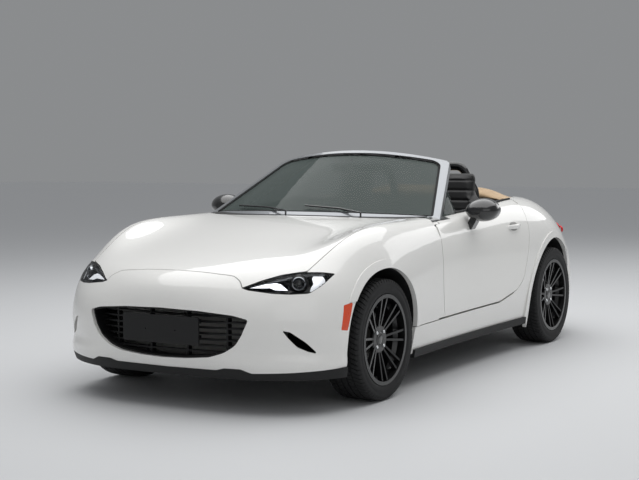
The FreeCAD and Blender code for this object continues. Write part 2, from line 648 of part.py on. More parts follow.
GRILLE_BACK = [(0, -672, 0), (250, -664, 800), (400, -636, 300), (560, -560, 0), (520, -520, 0),
               (390, -606, 300), (240, -636, 800), (0, -644, 0)]
grille_band = plan_zone(both_sides(GRILLE_BACK), up(200), up(560))
grille_rim = front_zone(both_sides(MOUTH_HALF), along(-900), along(-500), 7)
grille_rim = grille_rim.cut(front_zone(both_sides(MOUTH_HALF), along(-901), along(-499), -9))
BAR_COUNT = 9
BAR_LOW = 264
BAR_HIGH = 494
bars = []
for index in range(BAR_COUNT):
    height = up(BAR_LOW) + index * (up(BAR_HIGH) - up(BAR_LOW)) / (BAR_COUNT - 1)
    bars.append(box(-FAR, along(-900), height - 4, FAR, along(-500), height + 4))
uprights = [box(x - 5, along(-900), up(200), x + 5, along(-500), up(560)) for x in (-330, -110, 110, 330)]
PLATE_HOLDER = [(-227, 331, 10), (-227, 466, 10), (227, 466, 10), (227, 331, 10)]
plate_holder = front_zone(PLATE_HOLDER, along(-742), along(-732))
struts = [box(x, along(-733), up(z), x + 30, along(-650), up(z) + 22)
          for x in (-180, 150) for z in (345, 425)]
mesh_area = front_zone(both_sides(MOUTH_HALF), along(-900), along(-500), 0)
lattice = bars[0].fuse(bars[1:] + uprights).common(mesh_area)
RIM_SEAT_HALF = [(0, -760, 0), (700, -700, 0), (560, -540, 0)] + GRILLE_BACK[5:]
rim_seat = plan_zone(both_sides(RIM_SEAT_HALF), up(200), up(560))
seated_rim = grille_rim.common(rim_seat).common(inner_body)
grille = grille_band.common(lattice).fuse([seated_rim, plate_holder] + struts).cut(front_bumper)
PLATE_SPACING = 178
plate_height = up(396)
plate_bores = [Part.makeCylinder(size.plate_bore / 2, 300, Vector(x, along(-760), plate_height),
                                 Vector(0, 1, 0))
               for x in (-PLATE_SPACING / 2, PLATE_SPACING / 2)]
grille = grille.cut(plate_bores)
keep("grille", one_solid(grille))

# Lower trim: the front lip with its undertray, and the side skirts
lip_bottom = size.sill_height - size.lip_drop
nose_room = box(-FAR, -FAR * 2, lip_bottom, FAR, FRONT_AXLE - size.arch_radius, up(300))
lip = proud_body.common(nose_room).common(lip_zone)
TRAY = 8
lip = lip.cut([inner_body.common(box(-FAR, -FAR * 2, size.sill_height, FAR, 0, FAR)),
               box(-across(560), along(-560), 0, across(560), along(-352) + 1, size.sill_height - TRAY)])
skirt_top = up(size.skirt_top) - size.fit_gap
skirt = proud_body.common(box(across(702), along(372), skirt_top - size.skirt_height, FAR,
                              along(1925), skirt_top))
keep("lower_trim", Part.makeCompound([one_solid(lip), one_solid(skirt), mirrored(one_solid(skirt))]))

# Wheel arch liners


def liner(axle_y, radius, x_from, x_to):
    centre = AXLE_HEIGHT + size.arch_lift
    start = Vector(x_from, axle_y, centre)
    outside = Part.makeCylinder(radius + 6, x_to - x_from, start, Vector(1, 0, 0))
    inside = Part.makeCylinder(radius + 1, x_to - x_from, start, Vector(1, 0, 0))
    ring = outside.cut(inside)
    return ring.common(box(x_from, axle_y - 500, up(240), x_to, axle_y + 500, FAR))


side_clear = side_zone(ROCKER, HALF - 5, FAR, 1)
front_liner = liner(FRONT_AXLE, size.arch_radius, across(486), across(840)).common(inside_body)
front_liner = one_solid(front_liner.cut(side_clear))
rear_liner = liner(REAR_AXLE, size.rear_arch_radius, 600, across(850)).common(inside_body)
rear_liner = one_solid(rear_liner.cut(side_clear))
keep("arch_liners", Part.makeCompound([front_liner, mirrored(front_liner), rear_liner,
                                       mirrored(rear_liner)]))

# The welded tub: floor, firewall, engine bay, bulkhead and boot tray
TUNNEL_HALF = 115
TUNNEL_TOP = 355
SIDE_TOP = up(336)
TUNNEL = [(-HALF, SIDE_TOP), (-HALF, FLOOR), (-TUNNEL_HALF, FLOOR), (-TUNNEL_HALF, TUNNEL_TOP),
          (TUNNEL_HALF, TUNNEL_TOP), (TUNNEL_HALF, FLOOR), (HALF, FLOOR), (HALF, SIDE_TOP),
          (HALF - WALL, SIDE_TOP), (HALF - WALL, FLOOR + WALL), (TUNNEL_HALF + WALL, FLOOR + WALL),
          (TUNNEL_HALF + WALL, TUNNEL_TOP + WALL), (-TUNNEL_HALF - WALL, TUNNEL_TOP + WALL),
          (-TUNNEL_HALF - WALL, FLOOR + WALL), (-HALF + WALL, FLOOR + WALL), (-HALF + WALL, SIDE_TOP)]


def section(points, y_from, y_to):
    wire = Part.makePolygon([Vector(x, y_from, z) for x, z in points + points[:1]])
    return Part.Face(wire).extrude(Vector(0, y_to - y_from, 0))


firewall_y = along(548)
bulkhead_y = along(1992)
boot_front = along(2562)
boot_back = along(2985)
BOOT_HALF = 470
BOOT_FLOOR = 420
floor = section(TUNNEL, firewall_y, bulkhead_y + WALL)
firewall = box(-HALF, firewall_y, FLOOR, HALF, firewall_y + WALL, up(836))
tunnel_mouth = box(-TUNNEL_HALF, firewall_y - 1, 0, TUNNEL_HALF, bulkhead_y + WALL + 1, TUNNEL_TOP)
firewall = firewall.cut(tunnel_mouth)
bulkhead = box(-HALF, bulkhead_y, FLOOR, HALF, bulkhead_y + WALL, up(700))
bulkhead = bulkhead.cut(tunnel_mouth)
shelf = box(-HALF + 10, bulkhead_y, up(700) - WALL, HALF - 10, boot_front, up(700))
boot = box(-BOOT_HALF, boot_front, BOOT_FLOOR, BOOT_HALF, boot_back, up(700))
boot = boot.cut(box(-BOOT_HALF + WALL, boot_front + WALL, BOOT_FLOOR + WALL,
                    BOOT_HALF - WALL, boot_back - WALL, FAR))
rails = [box(x, bulkhead_y, 490, x + 50, boot_back, 540) for x in (-BOOT_HALF - 50, BOOT_HALF)]
APRON = [(-470, 250, 0), (-470, 530, 20), (-330, 600, 60), (120, 770, 200), (560, 800, 0), (560, 330, 0),
         (420, 300, 40), (-380, 300, 40)]
apron = side_zone(APRON, across(470), across(482))
cross_panel = box(-across(482), along(-470), up(230), across(482), along(-458), up(530))

# Pillars that carry the doors, each with two hinge plates and their pins
pillar_block = box(HALF - WALL, firewall_y, SIDE_TOP - WALL, HALF + 84, DOOR_HINGE_Y - 14, up(840))
pillar_block = pillar_block.cut([door_sweep, box(HALF, -FAR, 0, FAR, FAR, SIDE_TOP)]).common(inside_body)
hinges = []
for height in HINGE_HEIGHTS:
    plate = arm([Vector(HALF + 10, DOOR_HINGE_Y - 36, height), Vector(HINGE_X, DOOR_HINGE_Y, height)],
                22, PLATE)
    pin = Part.makeCylinder(size.hinge_pin, 3 * PLATE, Vector(HINGE_X, DOOR_HINGE_Y, height - PLATE))
    hinges += [plate, pin]
pillar_block = pillar_block.fuse(hinges)

# Rubber stops that the hood and the trunk lid rest on
inner_top = inner_body.translated(Vector(0, 0, -size.fit_gap))
STOP_RADIUS = 11
hood_stops = [Part.makeCylinder(STOP_RADIUS, up(720) - up(520), Vector(across(x), along(-464), up(520)))
              for x in (-300, 300)]
hood_stops = [stop.common(inner_top) for stop in hood_stops]
lid_stops = [Part.makeCylinder(STOP_RADIUS, up(900) - up(690),
                               Vector(across(x), boot_front + WALL / 2, up(690))) for x in (-300, 300)]
lid_stops = [stop.common(inner_top) for stop in lid_stops]
wheel_rooms = arch_hole(REAR_AXLE, size.rear_arch_radius + 7, 600, FAR)
wheel_rooms = [wheel_rooms, mirrored(wheel_rooms)]
floor = one_solid(floor.cut(wheel_rooms).removeSplitter())
firewall = firewall.fuse([pillar_block, mirrored(pillar_block)]).cut(floor)
firewall = one_solid(firewall.removeSplitter())
bulkhead = bulkhead.fuse([shelf] + rails).cut(wheel_rooms + [floor])
bulkhead = one_solid(bulkhead.removeSplitter())
boot_tray = one_solid(boot.fuse(lid_stops).cut(bulkhead).removeSplitter())
engine_bay = cross_panel.fuse([apron, mirrored(apron)] + hood_stops).cut([firewall, floor])
engine_bay = one_solid(engine_bay.removeSplitter())
tub = {"floor": floor, "firewall": firewall, "engine_bay": engine_bay, "bulkhead": bulkhead,
       "boot_tray": boot_tray}
for name, shape in tub.items():
    keep(name, shape)
tub_shapes = list(tub.values())

# Door mirrors and the small fixed glass ahead of each door's window


def ellipse_wire(centre, half_width, half_height):
    ellipse = Part.Ellipse(centre, max(half_width, half_height), min(half_width, half_height))
    edge = ellipse.toShape()
    edge.rotate(centre, Vector(1, 0, 0), 90)
    return Part.Wire(edge)


MIRROR_SECTIONS = [(862, 1035, 905, 40, 22), (872, 1058, 906, 74, 46), (880, 1095, 908, 92, 62),
                   (880, 1140, 909, 93, 66), (880, 1160, 909, 91, 64)]
mirror_head = Part.makeLoft([ellipse_wire(at(x, s, z), a, b) for x, s, z, a, b in MIRROR_SECTIONS], True)
FOOT_LOW = [(788, 1068, 800), (830, 1068, 800), (830, 1122, 800), (788, 1122, 800)]
FOOT_HIGH = [(828, 1084, 886), (874, 1084, 886), (874, 1136, 886), (828, 1136, 886)]
mirror_foot = Part.makeLoft([Part.makePolygon([at(*place) for place in ring + ring[:1]])
                             for ring in (FOOT_LOW, FOOT_HIGH)], True)
mirror = mirror_head.fuse(mirror_foot).cut(outer_body)
pair("mirror", one_solid(mirror))
QUARTER_GLASS = [(745, 852, 868), (740, 1050, 872), (686, 1050, 1000)]
glass_corners = [at(*place) for place in QUARTER_GLASS]
glass_out = (glass_corners[1] - glass_corners[0]).cross(glass_corners[2] - glass_corners[0]).normalize()
glass_plate = prism(glass_corners, [3, 3, 20], glass_out * size.glass_thickness)
divider = tube([at(738, 1056, 872), at(683, 1056, 1008)], 7, 1)
quarter_light = glass_plate.fuse(divider).cut([slab_clearance, pieces["door_left"].Shape])
pair("quarter_light", one_solid(quarter_light))

# Cabin


DASH = [(668, 866, 20), (760, 880, 30), (960, 872, 60), (1075, 838, 50), (1090, 790, 40), (1040, 640, 60),
        (960, 560, 60), (760, 560, 30), (668, 700, 20)]
dashboard = side_zone(DASH, -across(664), across(664))
hood_over_cluster = side_zone([(930, 850, 20), (1085, 905, 40), (1105, 880, 20), (1060, 800, 20),
                               (930, 790, 20)], across(220), across(520))
wheel_centre = at(370, 1230, 752)
rake = math.radians(size.steering_rake)
column_axis = Vector(0, math.cos(rake), math.sin(rake))
BOSS_BACK = 40
COLUMN_LENGTH = 190
column_foot = wheel_centre - column_axis * (BOSS_BACK + size.fit_gap + COLUMN_LENGTH)
column = Part.makeCylinder(31, COLUMN_LENGTH, column_foot, column_axis)
dashboard = dashboard.fuse([hood_over_cluster, column]).common(inside_body)
keep("dashboard", one_solid(dashboard.cut(slab)))

CONSOLE = [(790, 340, 0), (1960, 340, 0), (1960, 520, 40), (1820, 560, 60), (1500, 560, 60),
           (1330, 500, 80), (1180, 470, 80), (1030, 548, 60), (790, 548, 0)]
console = side_zone(CONSOLE, -across(112), across(112))
lever = Part.makeCylinder(11, 90, at(0, 1240, 470), Vector(0, -0.12, 1))
knob = Part.makeSphere(24, at(0, 1229, 575))
console = console.fuse([lever, knob]).cut(box(-FAR, -FAR, 0, FAR, FAR, TUNNEL_TOP + WALL))
keep("console", one_solid(console))

SEAT_BASE = [(1255, 250, 30), (1240, 380, 60), (1300, 425, 60), (1560, 385, 200), (1700, 375, 60),
             (1730, 250, 30)]
SEAT_BACK = [(1640, 372, 40), (1700, 520, 200), (1800, 800, 300), (1850, 985, 60), (1868, 1085, 40),
             (1935, 1085, 40), (1945, 985, 60), (1900, 760, 300), (1800, 420, 120), (1790, 300, 40),
             (1700, 300, 40)]


def seat_at(x):
    half = size.seat_width / 2
    cushion = side_zone(SEAT_BASE, x - half, x + half)
    back = side_zone(SEAT_BACK, x - half, x + half)
    shoulders = front_zone([(-235, 250, 0), (-235, 760, 80), (-205, 900, 80), (-118, 985, 60),
                            (-110, 1090, 50), (110, 1090, 50), (118, 985, 60), (205, 900, 80),
                            (235, 760, 80), (235, 250, 0)], along(1200), along(2000))
    body = cushion.fuse(back).common(shoulders.translated(Vector(x, 0, 0)))
    frame_rail = box(x - half + 30, along(1290), size.floor_height + size.floor_thickness, x + half - 30,
                     along(1690), up(252))
    return one_solid(body.fuse(frame_rail))


keep("seat_left", seat_at(size.seat_spacing))
keep("seat_right", seat_at(-size.seat_spacing))


HOOP = [(150, 2062, 700), (165, 2040, 1010), (205, 2032, 1140), (330, 2032, 1140), (415, 2040, 990),
        (450, 2062, 700)]
hoop_line = rounded_line([at(*place) for place in HOOP], 70)
hoop_section = Part.Wire(Part.Ellipse(at(*HOOP[0]), 28, 20).toShape())
hoop = hoop_line.makePipeShell([hoop_section], True, True).cut(tub_shapes)
keep("roll_hoops", Part.makeCompound([hoop, mirrored(hoop)]))

TOP = [(2120, 905, 30), (2140, 985, 40), (2230, 1018, 80), (2330, 1000, 60), (2372, 955, 30),
       (2330, 918, 20), (2315, 700, 0), (2120, 700, 0)]
soft_top = side_zone(TOP, -across(600), across(600))
top_plan = plan_zone(both_sides([(0, 2118, 0), (520, 2118, 80), (590, 2200, 80), (560, 2300, 60),
                                 (520, 2400, 40), (0, 2400, 0)]), up(700), FAR)
SHOULDER_HALF = [(0, 1024, 0), (500, 1002, 200), (590, 930, 60), (600, 640, 0), (0, 640, 0)]
shoulders = front_zone(both_sides(SHOULDER_HALF), -FAR, FAR)
soft_top = soft_top.common(top_plan).common(shoulders)
soft_top = soft_top.cut([pieces[name].Shape for name in ("rear_deck", "body_side_left", "body_side_right")])
keep("soft_top", one_solid(soft_top))

interior_mirror = side_zone([(1150, 1118, 8), (1146, 1168, 14), (1166, 1172, 14), (1172, 1120, 8)],
                            -across(118), across(118))
stalk = Part.makeCylinder(8, 80, at(0, 1160, 1155), Vector(0, 0.2, 1))
keep("interior_mirror", one_solid(interior_mirror.fuse(stalk).cut(pieces["windscreen"].Shape.fuse(
    pieces["windscreen_frame"].Shape))))


outer_screen = screen_surface(0)


def on_screen(sideways, upwards, lift):
    """Place on the windscreen: -1 to 1 across it, 0 to 1 up it, lifted off the glass."""
    face = outer_screen.Surface
    u_low, u_high, v_low, v_high = outer_screen.ParameterRange
    spot = face.value(u_low + (u_high - u_low) * (1 + sideways) / 2, v_low + (v_high - v_low) * upwards)
    return spot + screen_normal * lift


def rod(points, radius):
    """Straight round bars from point to point, with a ball at each bend."""
    bars = [Part.makeCylinder(radius, (end - start).Length, start, end - start)
            for start, end in zip(points, points[1:])]
    balls = [Part.makeSphere(radius, point) for point in points[1:-1]]
    return bars[0].fuse(bars[1:] + balls)


def wiper(root, tip):
    """Arm from its pivot in the cowl to the middle of the blade."""
    pivot = on_screen(root, 0.0, -2) + Vector(0, -20, 24)
    joint = on_screen(root * 0.6 + tip * 0.4, 0.085, 10)
    return rod([pivot - Vector(0, 0, 60), pivot, joint], 5).fuse(
        rod([on_screen(root * 0.75 + tip * 0.25, 0.06, 8), joint, on_screen(tip, 0.12, 8)], 5))


aerial = Part.makeCylinder(size.antenna_radius, size.antenna_length, at(-600, 2480, 916), Vector(0, 0.25, 1))
aerial_base = Part.makeCone(16, 6, 60, at(-600, 2480, 880), Vector(0, 0.25, 1))
seat_body = solid_under(net_surface(sunk_net(NET, SURFACE, -size.fit_gap)))
keep("antenna", one_solid(aerial.fuse(aerial_base).cut(seat_body)))


wipers = [one_solid(wiper(-0.45, 0.05).cut(pieces["cowl"].Shape)), one_solid(wiper(0.15, 0.72).cut(
    pieces["cowl"].Shape))]
keep("wipers", Part.makeCompound(wipers))

# Turned and padded pieces: bodies whose sketches follow the sheet


def plane_of(body, role):
    return next(item for item in body.Origin.OriginFeatures if item.Role == role)


def new_body(name):
    body = doc.addObject("PartDesign::Body", name)
    body.Label = name
    pieces[name] = body
    return body


def sketch_on(body, name, role, offset=None):
    sketch = body.newObject("Sketcher::SketchObject", name)
    sketch.AttachmentSupport = [(plane_of(body, role), "")]
    sketch.MapMode = "FlatFace"
    if offset is not None:
        sketch.AttachmentOffset = FreeCAD.Placement(Vector(0, 0, float(offset)), FreeCAD.Rotation())
        if isinstance(offset, Size):
            sketch.setExpression("AttachmentOffset.Base.z", offset.formula)
    return sketch


def draw(sketch, corners):
    """Closed outline whose corners are held by sizes of the sheet."""
    count = len(corners)
    spots = [Vector(float(a), float(b), 0) for a, b in corners]
    for i in range(count):
        sketch.addGeometry(Part.LineSegment(spots[i], spots[(i + 1) % count]), False)
    for i in range(count):
        sketch.addConstraint(Sketcher.Constraint("Coincident", i, 2, (i + 1) % count, 1))
    for i, corner in enumerate(corners):
        for kind, place in zip(("DistanceX", "DistanceY"), corner):
            index = sketch.addConstraint(Sketcher.Constraint(kind, -1, 1, i, 1, float(place)))
            if isinstance(place, Size):
                sketch.setExpression(f"Constraints[{index}]", place.formula)


def circle(sketch, a, b, radius):
    ring = Part.Circle(Vector(float(a), float(b), 0), Vector(0, 0, 1), float(radius))
    index = sketch.addGeometry(ring, False)
    for kind, place in (("DistanceX", a), ("DistanceY", b)):
        held = sketch.addConstraint(Sketcher.Constraint(kind, -1, 1, index, 3, float(place)))
        if isinstance(place, Size):
            sketch.setExpression(f"Constraints[{held}]", place.formula)
    held = sketch.addConstraint(Sketcher.Constraint("Radius", index, float(radius)))
    if isinstance(radius, Size):
        sketch.setExpression(f"Constraints[{held}]", radius.formula)


def turned(body, name, corners):
    """Ring turned about the wheel's axis: corners are (along the axis, radius)."""
    sketch = sketch_on(body, f"{name}_profile", "XZ_Plane")
    draw(sketch, corners)
    ring = body.newObject("PartDesign::Revolution", name)
    ring.Profile = sketch
    ring.ReferenceAxis = (sketch, ["H_Axis"])
    ring.Angle = 360
    return ring


def put(body, x, y, z, turned_round=False):
    """Place of a body, with its outer face to the car's left, or to its right when turned round."""
    angle = 180 if turned_round else 0
    body.Placement = FreeCAD.Placement(Vector(float(x), float(y), float(z)),
                                       FreeCAD.Rotation(Vector(0, 0, 1), angle))
    for axis, place in zip("xyz", (x, y, z)):
        if isinstance(place, Size):
            body.setExpression(f"Placement.Base.{axis}", place.formula)


front_axle_place = cell.front_overhang - (cell.front_overhang + cell.wheelbase + cell.rear_overhang) / 2
rear_axle_place = front_axle_place + cell.wheelbase
WHEELS = {
    "front_left": (cell.front_track / 2, front_axle_place, False),
    "front_right": (-(cell.front_track / 2), front_axle_place, True),
    "rear_left": (cell.rear_track / 2, rear_axle_place, False),
    "rear_right": (-(cell.rear_track / 2), rear_axle_place, True),
}


def make_tyre(name, x, y, turned_round):
    body = new_body(f"tyre_{name}")
    half = cell.tyre_width / 2
    low = cell.rim_radius
    high = cell.tyre_radius
    bead = cell.rim_depth / 2 - 9.3
    lip = cell.rim_lip_radius + 0.6
    turned(body, f"tyre_ring_{name}", [
        (-bead, low), (-(bead + 2), lip), (-half, lip + 22), (-(half - 5), high - 14),
        (-(half - 24), high - 1), (0, high), (half - 24, high - 1), (half - 5, high - 14), (half, lip + 22),
        (bead + 2, lip), (bead, low)])
    put(body, x, y, cell.tyre_radius, turned_round)


SPOKE_PAIRS = 8


def make_rim(name, x, y, turned_round):
    """Barrel, dished hub and eight pairs of thin spokes."""
    body = new_body(f"rim_{name}")
    face = cell.rim_depth / 2
    lip = cell.rim_lip_radius
    seat = cell.rim_radius
    turned(body, f"barrel_{name}", [
        (face, seat - 6), (face, lip), (face - 7, lip), (face - 9, seat - 0.5), (face - 42, seat - 0.5),
        (face - 58, seat - 16), (-(face - 40), seat - 16), (-(face - 26), seat - 0.5),
        (-(face - 9), seat - 0.5),
        (-(face - 7), lip), (-face, lip), (-face, seat - 8), (-(face - 30), seat - 10),
        (-(face - 44), seat - 24), (face - 60, seat - 24), (face - 40, seat - 9)])
    hub_out = cell.hub_face + 12
    turned(body, f"hub_{name}", [
        (hub_out - 22, cell.hub_bore / 2), (hub_out + 3, cell.hub_bore / 2),
        (hub_out + 3, cell.hub_bore / 2 + 6),
        (hub_out, cell.hub_bore / 2 + 10), (hub_out, cell.hub_radius - 6), (hub_out - 5, cell.hub_radius),
        (hub_out - 22, cell.hub_radius)])
    spokes = []
    for side, sign in (("a", 1), ("b", -1)):
        inner = sketch_on(body, f"spoke_foot_{side}_{name}", "XY_Plane", cell.hub_radius - 10)
        outer = sketch_on(body, f"spoke_head_{side}_{name}", "XY_Plane", cell.rim_radius - 10)
        low = sorted((sign * 4.0, sign * 15.0))
        high = sorted((sign * 20.5, sign * 31.5))
        draw(inner, [(hub_out - 20, low[0]), (hub_out - 1, low[0]), (hub_out - 1, low[1]),
                     (hub_out - 20, low[1])])
        draw(outer, [(face - 14 - cell.spoke_thickness, high[0]), (face - 6, high[0]), (face - 6, high[1]),
                     (face - 14 - cell.spoke_thickness, high[1])])
        spoke = body.newObject("PartDesign::AdditiveLoft", f"spoke_{side}_{name}")
        spoke.Profile = inner
        spoke.Sections = [outer]
        spokes.append(spoke)
    pattern = body.newObject("PartDesign::PolarPattern", f"spokes_{name}")
    pattern.Originals = spokes
    pattern.Axis = (plane_of(body, "X_Axis"), [""])
    pattern.Angle = 360
    pattern.Occurrences = SPOKE_PAIRS
    body.Tip = pattern
    bores = sketch_on(body, f"lug_bores_{name}", "YZ_Plane")
    across_lugs = cell.lug_circle / 2 * math.sqrt(0.5)
    for a_sign in (1, -1):
        for b_sign in (1, -1):
            circle(bores, across_lugs * a_sign, across_lugs * b_sign, cell.lug_bore / 2)
    pocket = body.newObject("PartDesign::Pocket", f"lugs_{name}")
    pocket.Profile = bores
    pocket.Type = 1
    pocket.Midplane = True
    body.Tip = pocket
    put(body, x, y, cell.tyre_radius, turned_round)


def make_disc(name, x, y, turned_round):
    """Brake disc with its hat, bolted behind the rim's hub face."""
    body = new_body(f"brake_disc_{name}")
    back = cell.hub_face - 10.3
    turned(body, f"disc_{name}", [
        (back, cell.hub_bore / 2 + 4), (back, cell.hat_radius), (back - 44, cell.hat_radius),
        (back - 44, cell.disc_radius), (back - 44 - cell.disc_thickness, cell.disc_radius),
        (back - 44 - cell.disc_thickness, cell.hat_radius - 12), (back - 8, cell.hat_radius - 8),
        (back - 8, cell.hub_bore / 2 + 4)])
    put(body, x, y, cell.tyre_radius, turned_round)


for name, (x, y, turned_round) in WHEELS.items():
    make_tyre(name, x, y, turned_round)
    make_rim(name, x, y, turned_round)
    make_disc(name, x, y, turned_round)

# Uprights, arms and driveline


def upright(axle_y, track, caliper_side):
    """Upright with its wheel bearing and brake caliper, on the car's left."""
    plane = track / 2 + size.hub_face - 10.3
    hub = Part.makeCylinder(40, 92, Vector(plane - 8.4 - 92, axle_y, AXLE_HEIGHT), Vector(1, 0, 0))
    nose = Part.makeCylinder(size.hub_bore / 2 - 0.5, 30, Vector(plane - 10, axle_y, AXLE_HEIGHT),
                             Vector(1, 0, 0))
    kingpin = Part.makeCylinder(14, 278, Vector(track / 2 - size.kingpin_inset, axle_y, AXLE_HEIGHT - 116))
    post = box(plane - 108, axle_y - 26, AXLE_HEIGHT - 104, plane - 76, axle_y + 26, AXLE_HEIGHT + 150)
    ears = box(plane - 126, axle_y - 20, AXLE_HEIGHT - 104, plane - 76, axle_y + 20, AXLE_HEIGHT - 80)
    disc_back = plane - 44 - size.disc_thickness
    inner_radius = size.hat_radius + 10
    outer_radius = size.disc_radius + 18
    ring = Part.makeCylinder(outer_radius, size.disc_thickness + 46,
                             Vector(disc_back - 26, axle_y, AXLE_HEIGHT), Vector(1, 0, 0))
    ring = ring.cut(Part.makeCylinder(inner_radius, FAR, Vector(0, axle_y, AXLE_HEIGHT), Vector(1, 0, 0)))
    wedge_y = axle_y + caliper_side * 60
    wedge = box(0, min(wedge_y, wedge_y + caliper_side * 140), AXLE_HEIGHT - 50, FAR,
                max(wedge_y, wedge_y + caliper_side * 140), AXLE_HEIGHT + 85)
    slot = Part.makeCylinder(size.disc_radius + 4, size.disc_thickness + 6, Vector(disc_back - 3, axle_y,
                             AXLE_HEIGHT), Vector(1, 0, 0))
    caliper = ring.common(wedge).cut(slot)
    carrier = box(plane - 100, min(axle_y, axle_y + caliper_side * 96), AXLE_HEIGHT - 18, plane - 84,
                  max(axle_y, axle_y + caliper_side * 96), AXLE_HEIGHT + 18)
    return hub.fuse([nose, kingpin, post, ears, caliper, carrier])


pair("knuckle_front", one_solid(upright(FRONT_AXLE, size.front_track, 1)))


def corner_arms(axle_y, x_ball, x_root, z_low, z_high):
    low = arm([Vector(x_root, axle_y - 150, z_low), Vector(x_ball, axle_y, z_low),
               Vector(x_root, axle_y + 170, z_low)], 34, 22)
    high = arm([Vector(x_root + 8, axle_y - 50, z_high), Vector(x_ball, axle_y, z_high),
                Vector(x_root + 8, axle_y + 80, z_high)], 26, 18)
    bridge = box(x_ball - 172, axle_y - 80, z_low, x_ball - 128, axle_y + 90, z_low + 22)
    damper = Part.makeCylinder(22, 330, Vector(x_ball - 150, axle_y, z_low + 10), Vector(-0.2, 0, 1))
    spring = Part.makeCylinder(44, 170, Vector(x_ball - 178, axle_y, z_low + 150), Vector(-0.2, 0, 1))
    return low.fuse([bridge, high, damper, spring])


FRONT_BALL = size.front_track / 2 + size.hub_face - 10.3 - 130
front_low = AXLE_HEIGHT - 104 - 22.4
front_high = AXLE_HEIGHT + 150.4
front_cross = box(-476, FRONT_AXLE - 190, front_low - 14, 476, FRONT_AXLE - 110, front_low + 46)
front_rear_cross = box(-476, FRONT_AXLE + 130, front_low - 14, 476, FRONT_AXLE + 200, front_low + 46)
front_rails = [box(x, FRONT_AXLE - 190, front_low - 14, x + 60, FRONT_AXLE + 200, front_low + 46)
               for x in (-400, 340)]
towers = [box(x, FRONT_AXLE - 60, front_low, x + 24, FRONT_AXLE + 90, front_high + 120) for x in (376, -400)]
left_arms = corner_arms(FRONT_AXLE, FRONT_BALL, 380, front_low, front_high)
bushes = [Part.makeCylinder(22, 200, Vector(x, FRONT_AXLE + y, front_low + 40)) for x in (-456, 456)
          for y in (-150, 165)]
bushes = [bush.cut(box(-FAR, -FAR, up(300), FAR, FAR, FAR)) for bush in bushes]
engine_mounts = [box(x, FRONT_AXLE + 20, 330, x + 96, FRONT_AXLE + 60, 350) for x in (280, -376)]
front_subframe = front_cross.fuse([front_rear_cross] + front_rails + towers + bushes + engine_mounts)
front_subframe = one_solid(front_subframe.cut(tub_shapes))
keep("front_subframe", front_subframe)
left_arms = left_arms.cut(tub_shapes + [front_subframe])
keep("front_suspension", Part.makeCompound([one_solid(left_arms), mirrored(one_solid(left_arms))]))

REAR_BALL = size.rear_track / 2 + size.hub_face - 10.3 - 130
rear_arms = corner_arms(REAR_AXLE, REAR_BALL, 380, front_low, front_high)
rear_upright = upright(REAR_AXLE, size.rear_track, 1)
rear_cross = box(-400, REAR_AXLE - 190, front_low - 14, 400, REAR_AXLE - 120, front_low + 46)
rear_back_cross = box(-400, REAR_AXLE + 140, front_low - 14, 400, REAR_AXLE + 210, front_low + 46)
rear_rails = [box(x, REAR_AXLE - 190, front_low - 14, x + 60, REAR_AXLE + 210, front_low + 46)
              for x in (-400, 340)]
joiner = box(REAR_BALL - 20, REAR_AXLE - 20, front_low, REAR_BALL + 60, REAR_AXLE + 20, front_low + 24)
high_joiner = box(REAR_BALL - 20, REAR_AXLE - 13, front_high - 10, REAR_BALL + 50, REAR_AXLE + 13,
                  front_high + 18)
rear_towers = [box(x, REAR_AXLE - 60, front_low, x + 24, REAR_AXLE + 90, front_high + 120)
               for x in (376, -400)]
rear_parts = [rear_back_cross, rear_arms, mirrored(rear_arms), rear_upright, mirrored(rear_upright), joiner,
              mirrored(joiner), high_joiner, mirrored(high_joiner)] + rear_rails + rear_towers
keep("rear_suspension", one_solid(rear_cross.fuse(rear_parts).cut(tub_shapes)))

engine = doc.addObject("Part::Box", "engine")
engine.Label = "engine"
engine.setExpression("Length", cell.engine_width.formula)
engine.setExpression("Width", cell.engine_length.formula)
engine.setExpression("Height", cell.engine_height.formula)
engine.Placement = FreeCAD.Placement(Vector(-size.engine_width / 2, FRONT_AXLE - 20, 242), FreeCAD.Rotation())
engine.setExpression("Placement.Base.x", f"0 - {cell.engine_width.formula} / 2")
pieces["engine"] = engine

gearbox_y = FRONT_AXLE - 20 + size.engine_length
gearbox = Part.makeCone(100, 78, 560, Vector(0, gearbox_y, 250), Vector(0, 1, 0))
shaft = Part.makeCylinder(34, REAR_AXLE - 200 - gearbox_y - 540, Vector(0, gearbox_y + 540, 250),
                          Vector(0, 1, 0))
differential = Part.makeSphere(105, Vector(0, REAR_AXLE - 10, AXLE_HEIGHT))
final_neck = Part.makeCone(50, 90, 150, Vector(0, REAR_AXLE - 200, 262), Vector(0, 0.95, 0.25))
half_shafts = Part.makeCylinder(17, size.rear_track - 260, Vector(-(size.rear_track - 260) / 2, REAR_AXLE,
                                AXLE_HEIGHT), Vector(1, 0, 0))
driveline = gearbox.fuse([shaft, differential, final_neck])
half_shafts = half_shafts.cut(pieces["rear_suspension"].Shape)
driveline = driveline.fuse(half_shafts)
driveline = driveline.cut([pieces["rear_suspension"].Shape] + tub_shapes)
keep("driveline", one_solid(driveline))

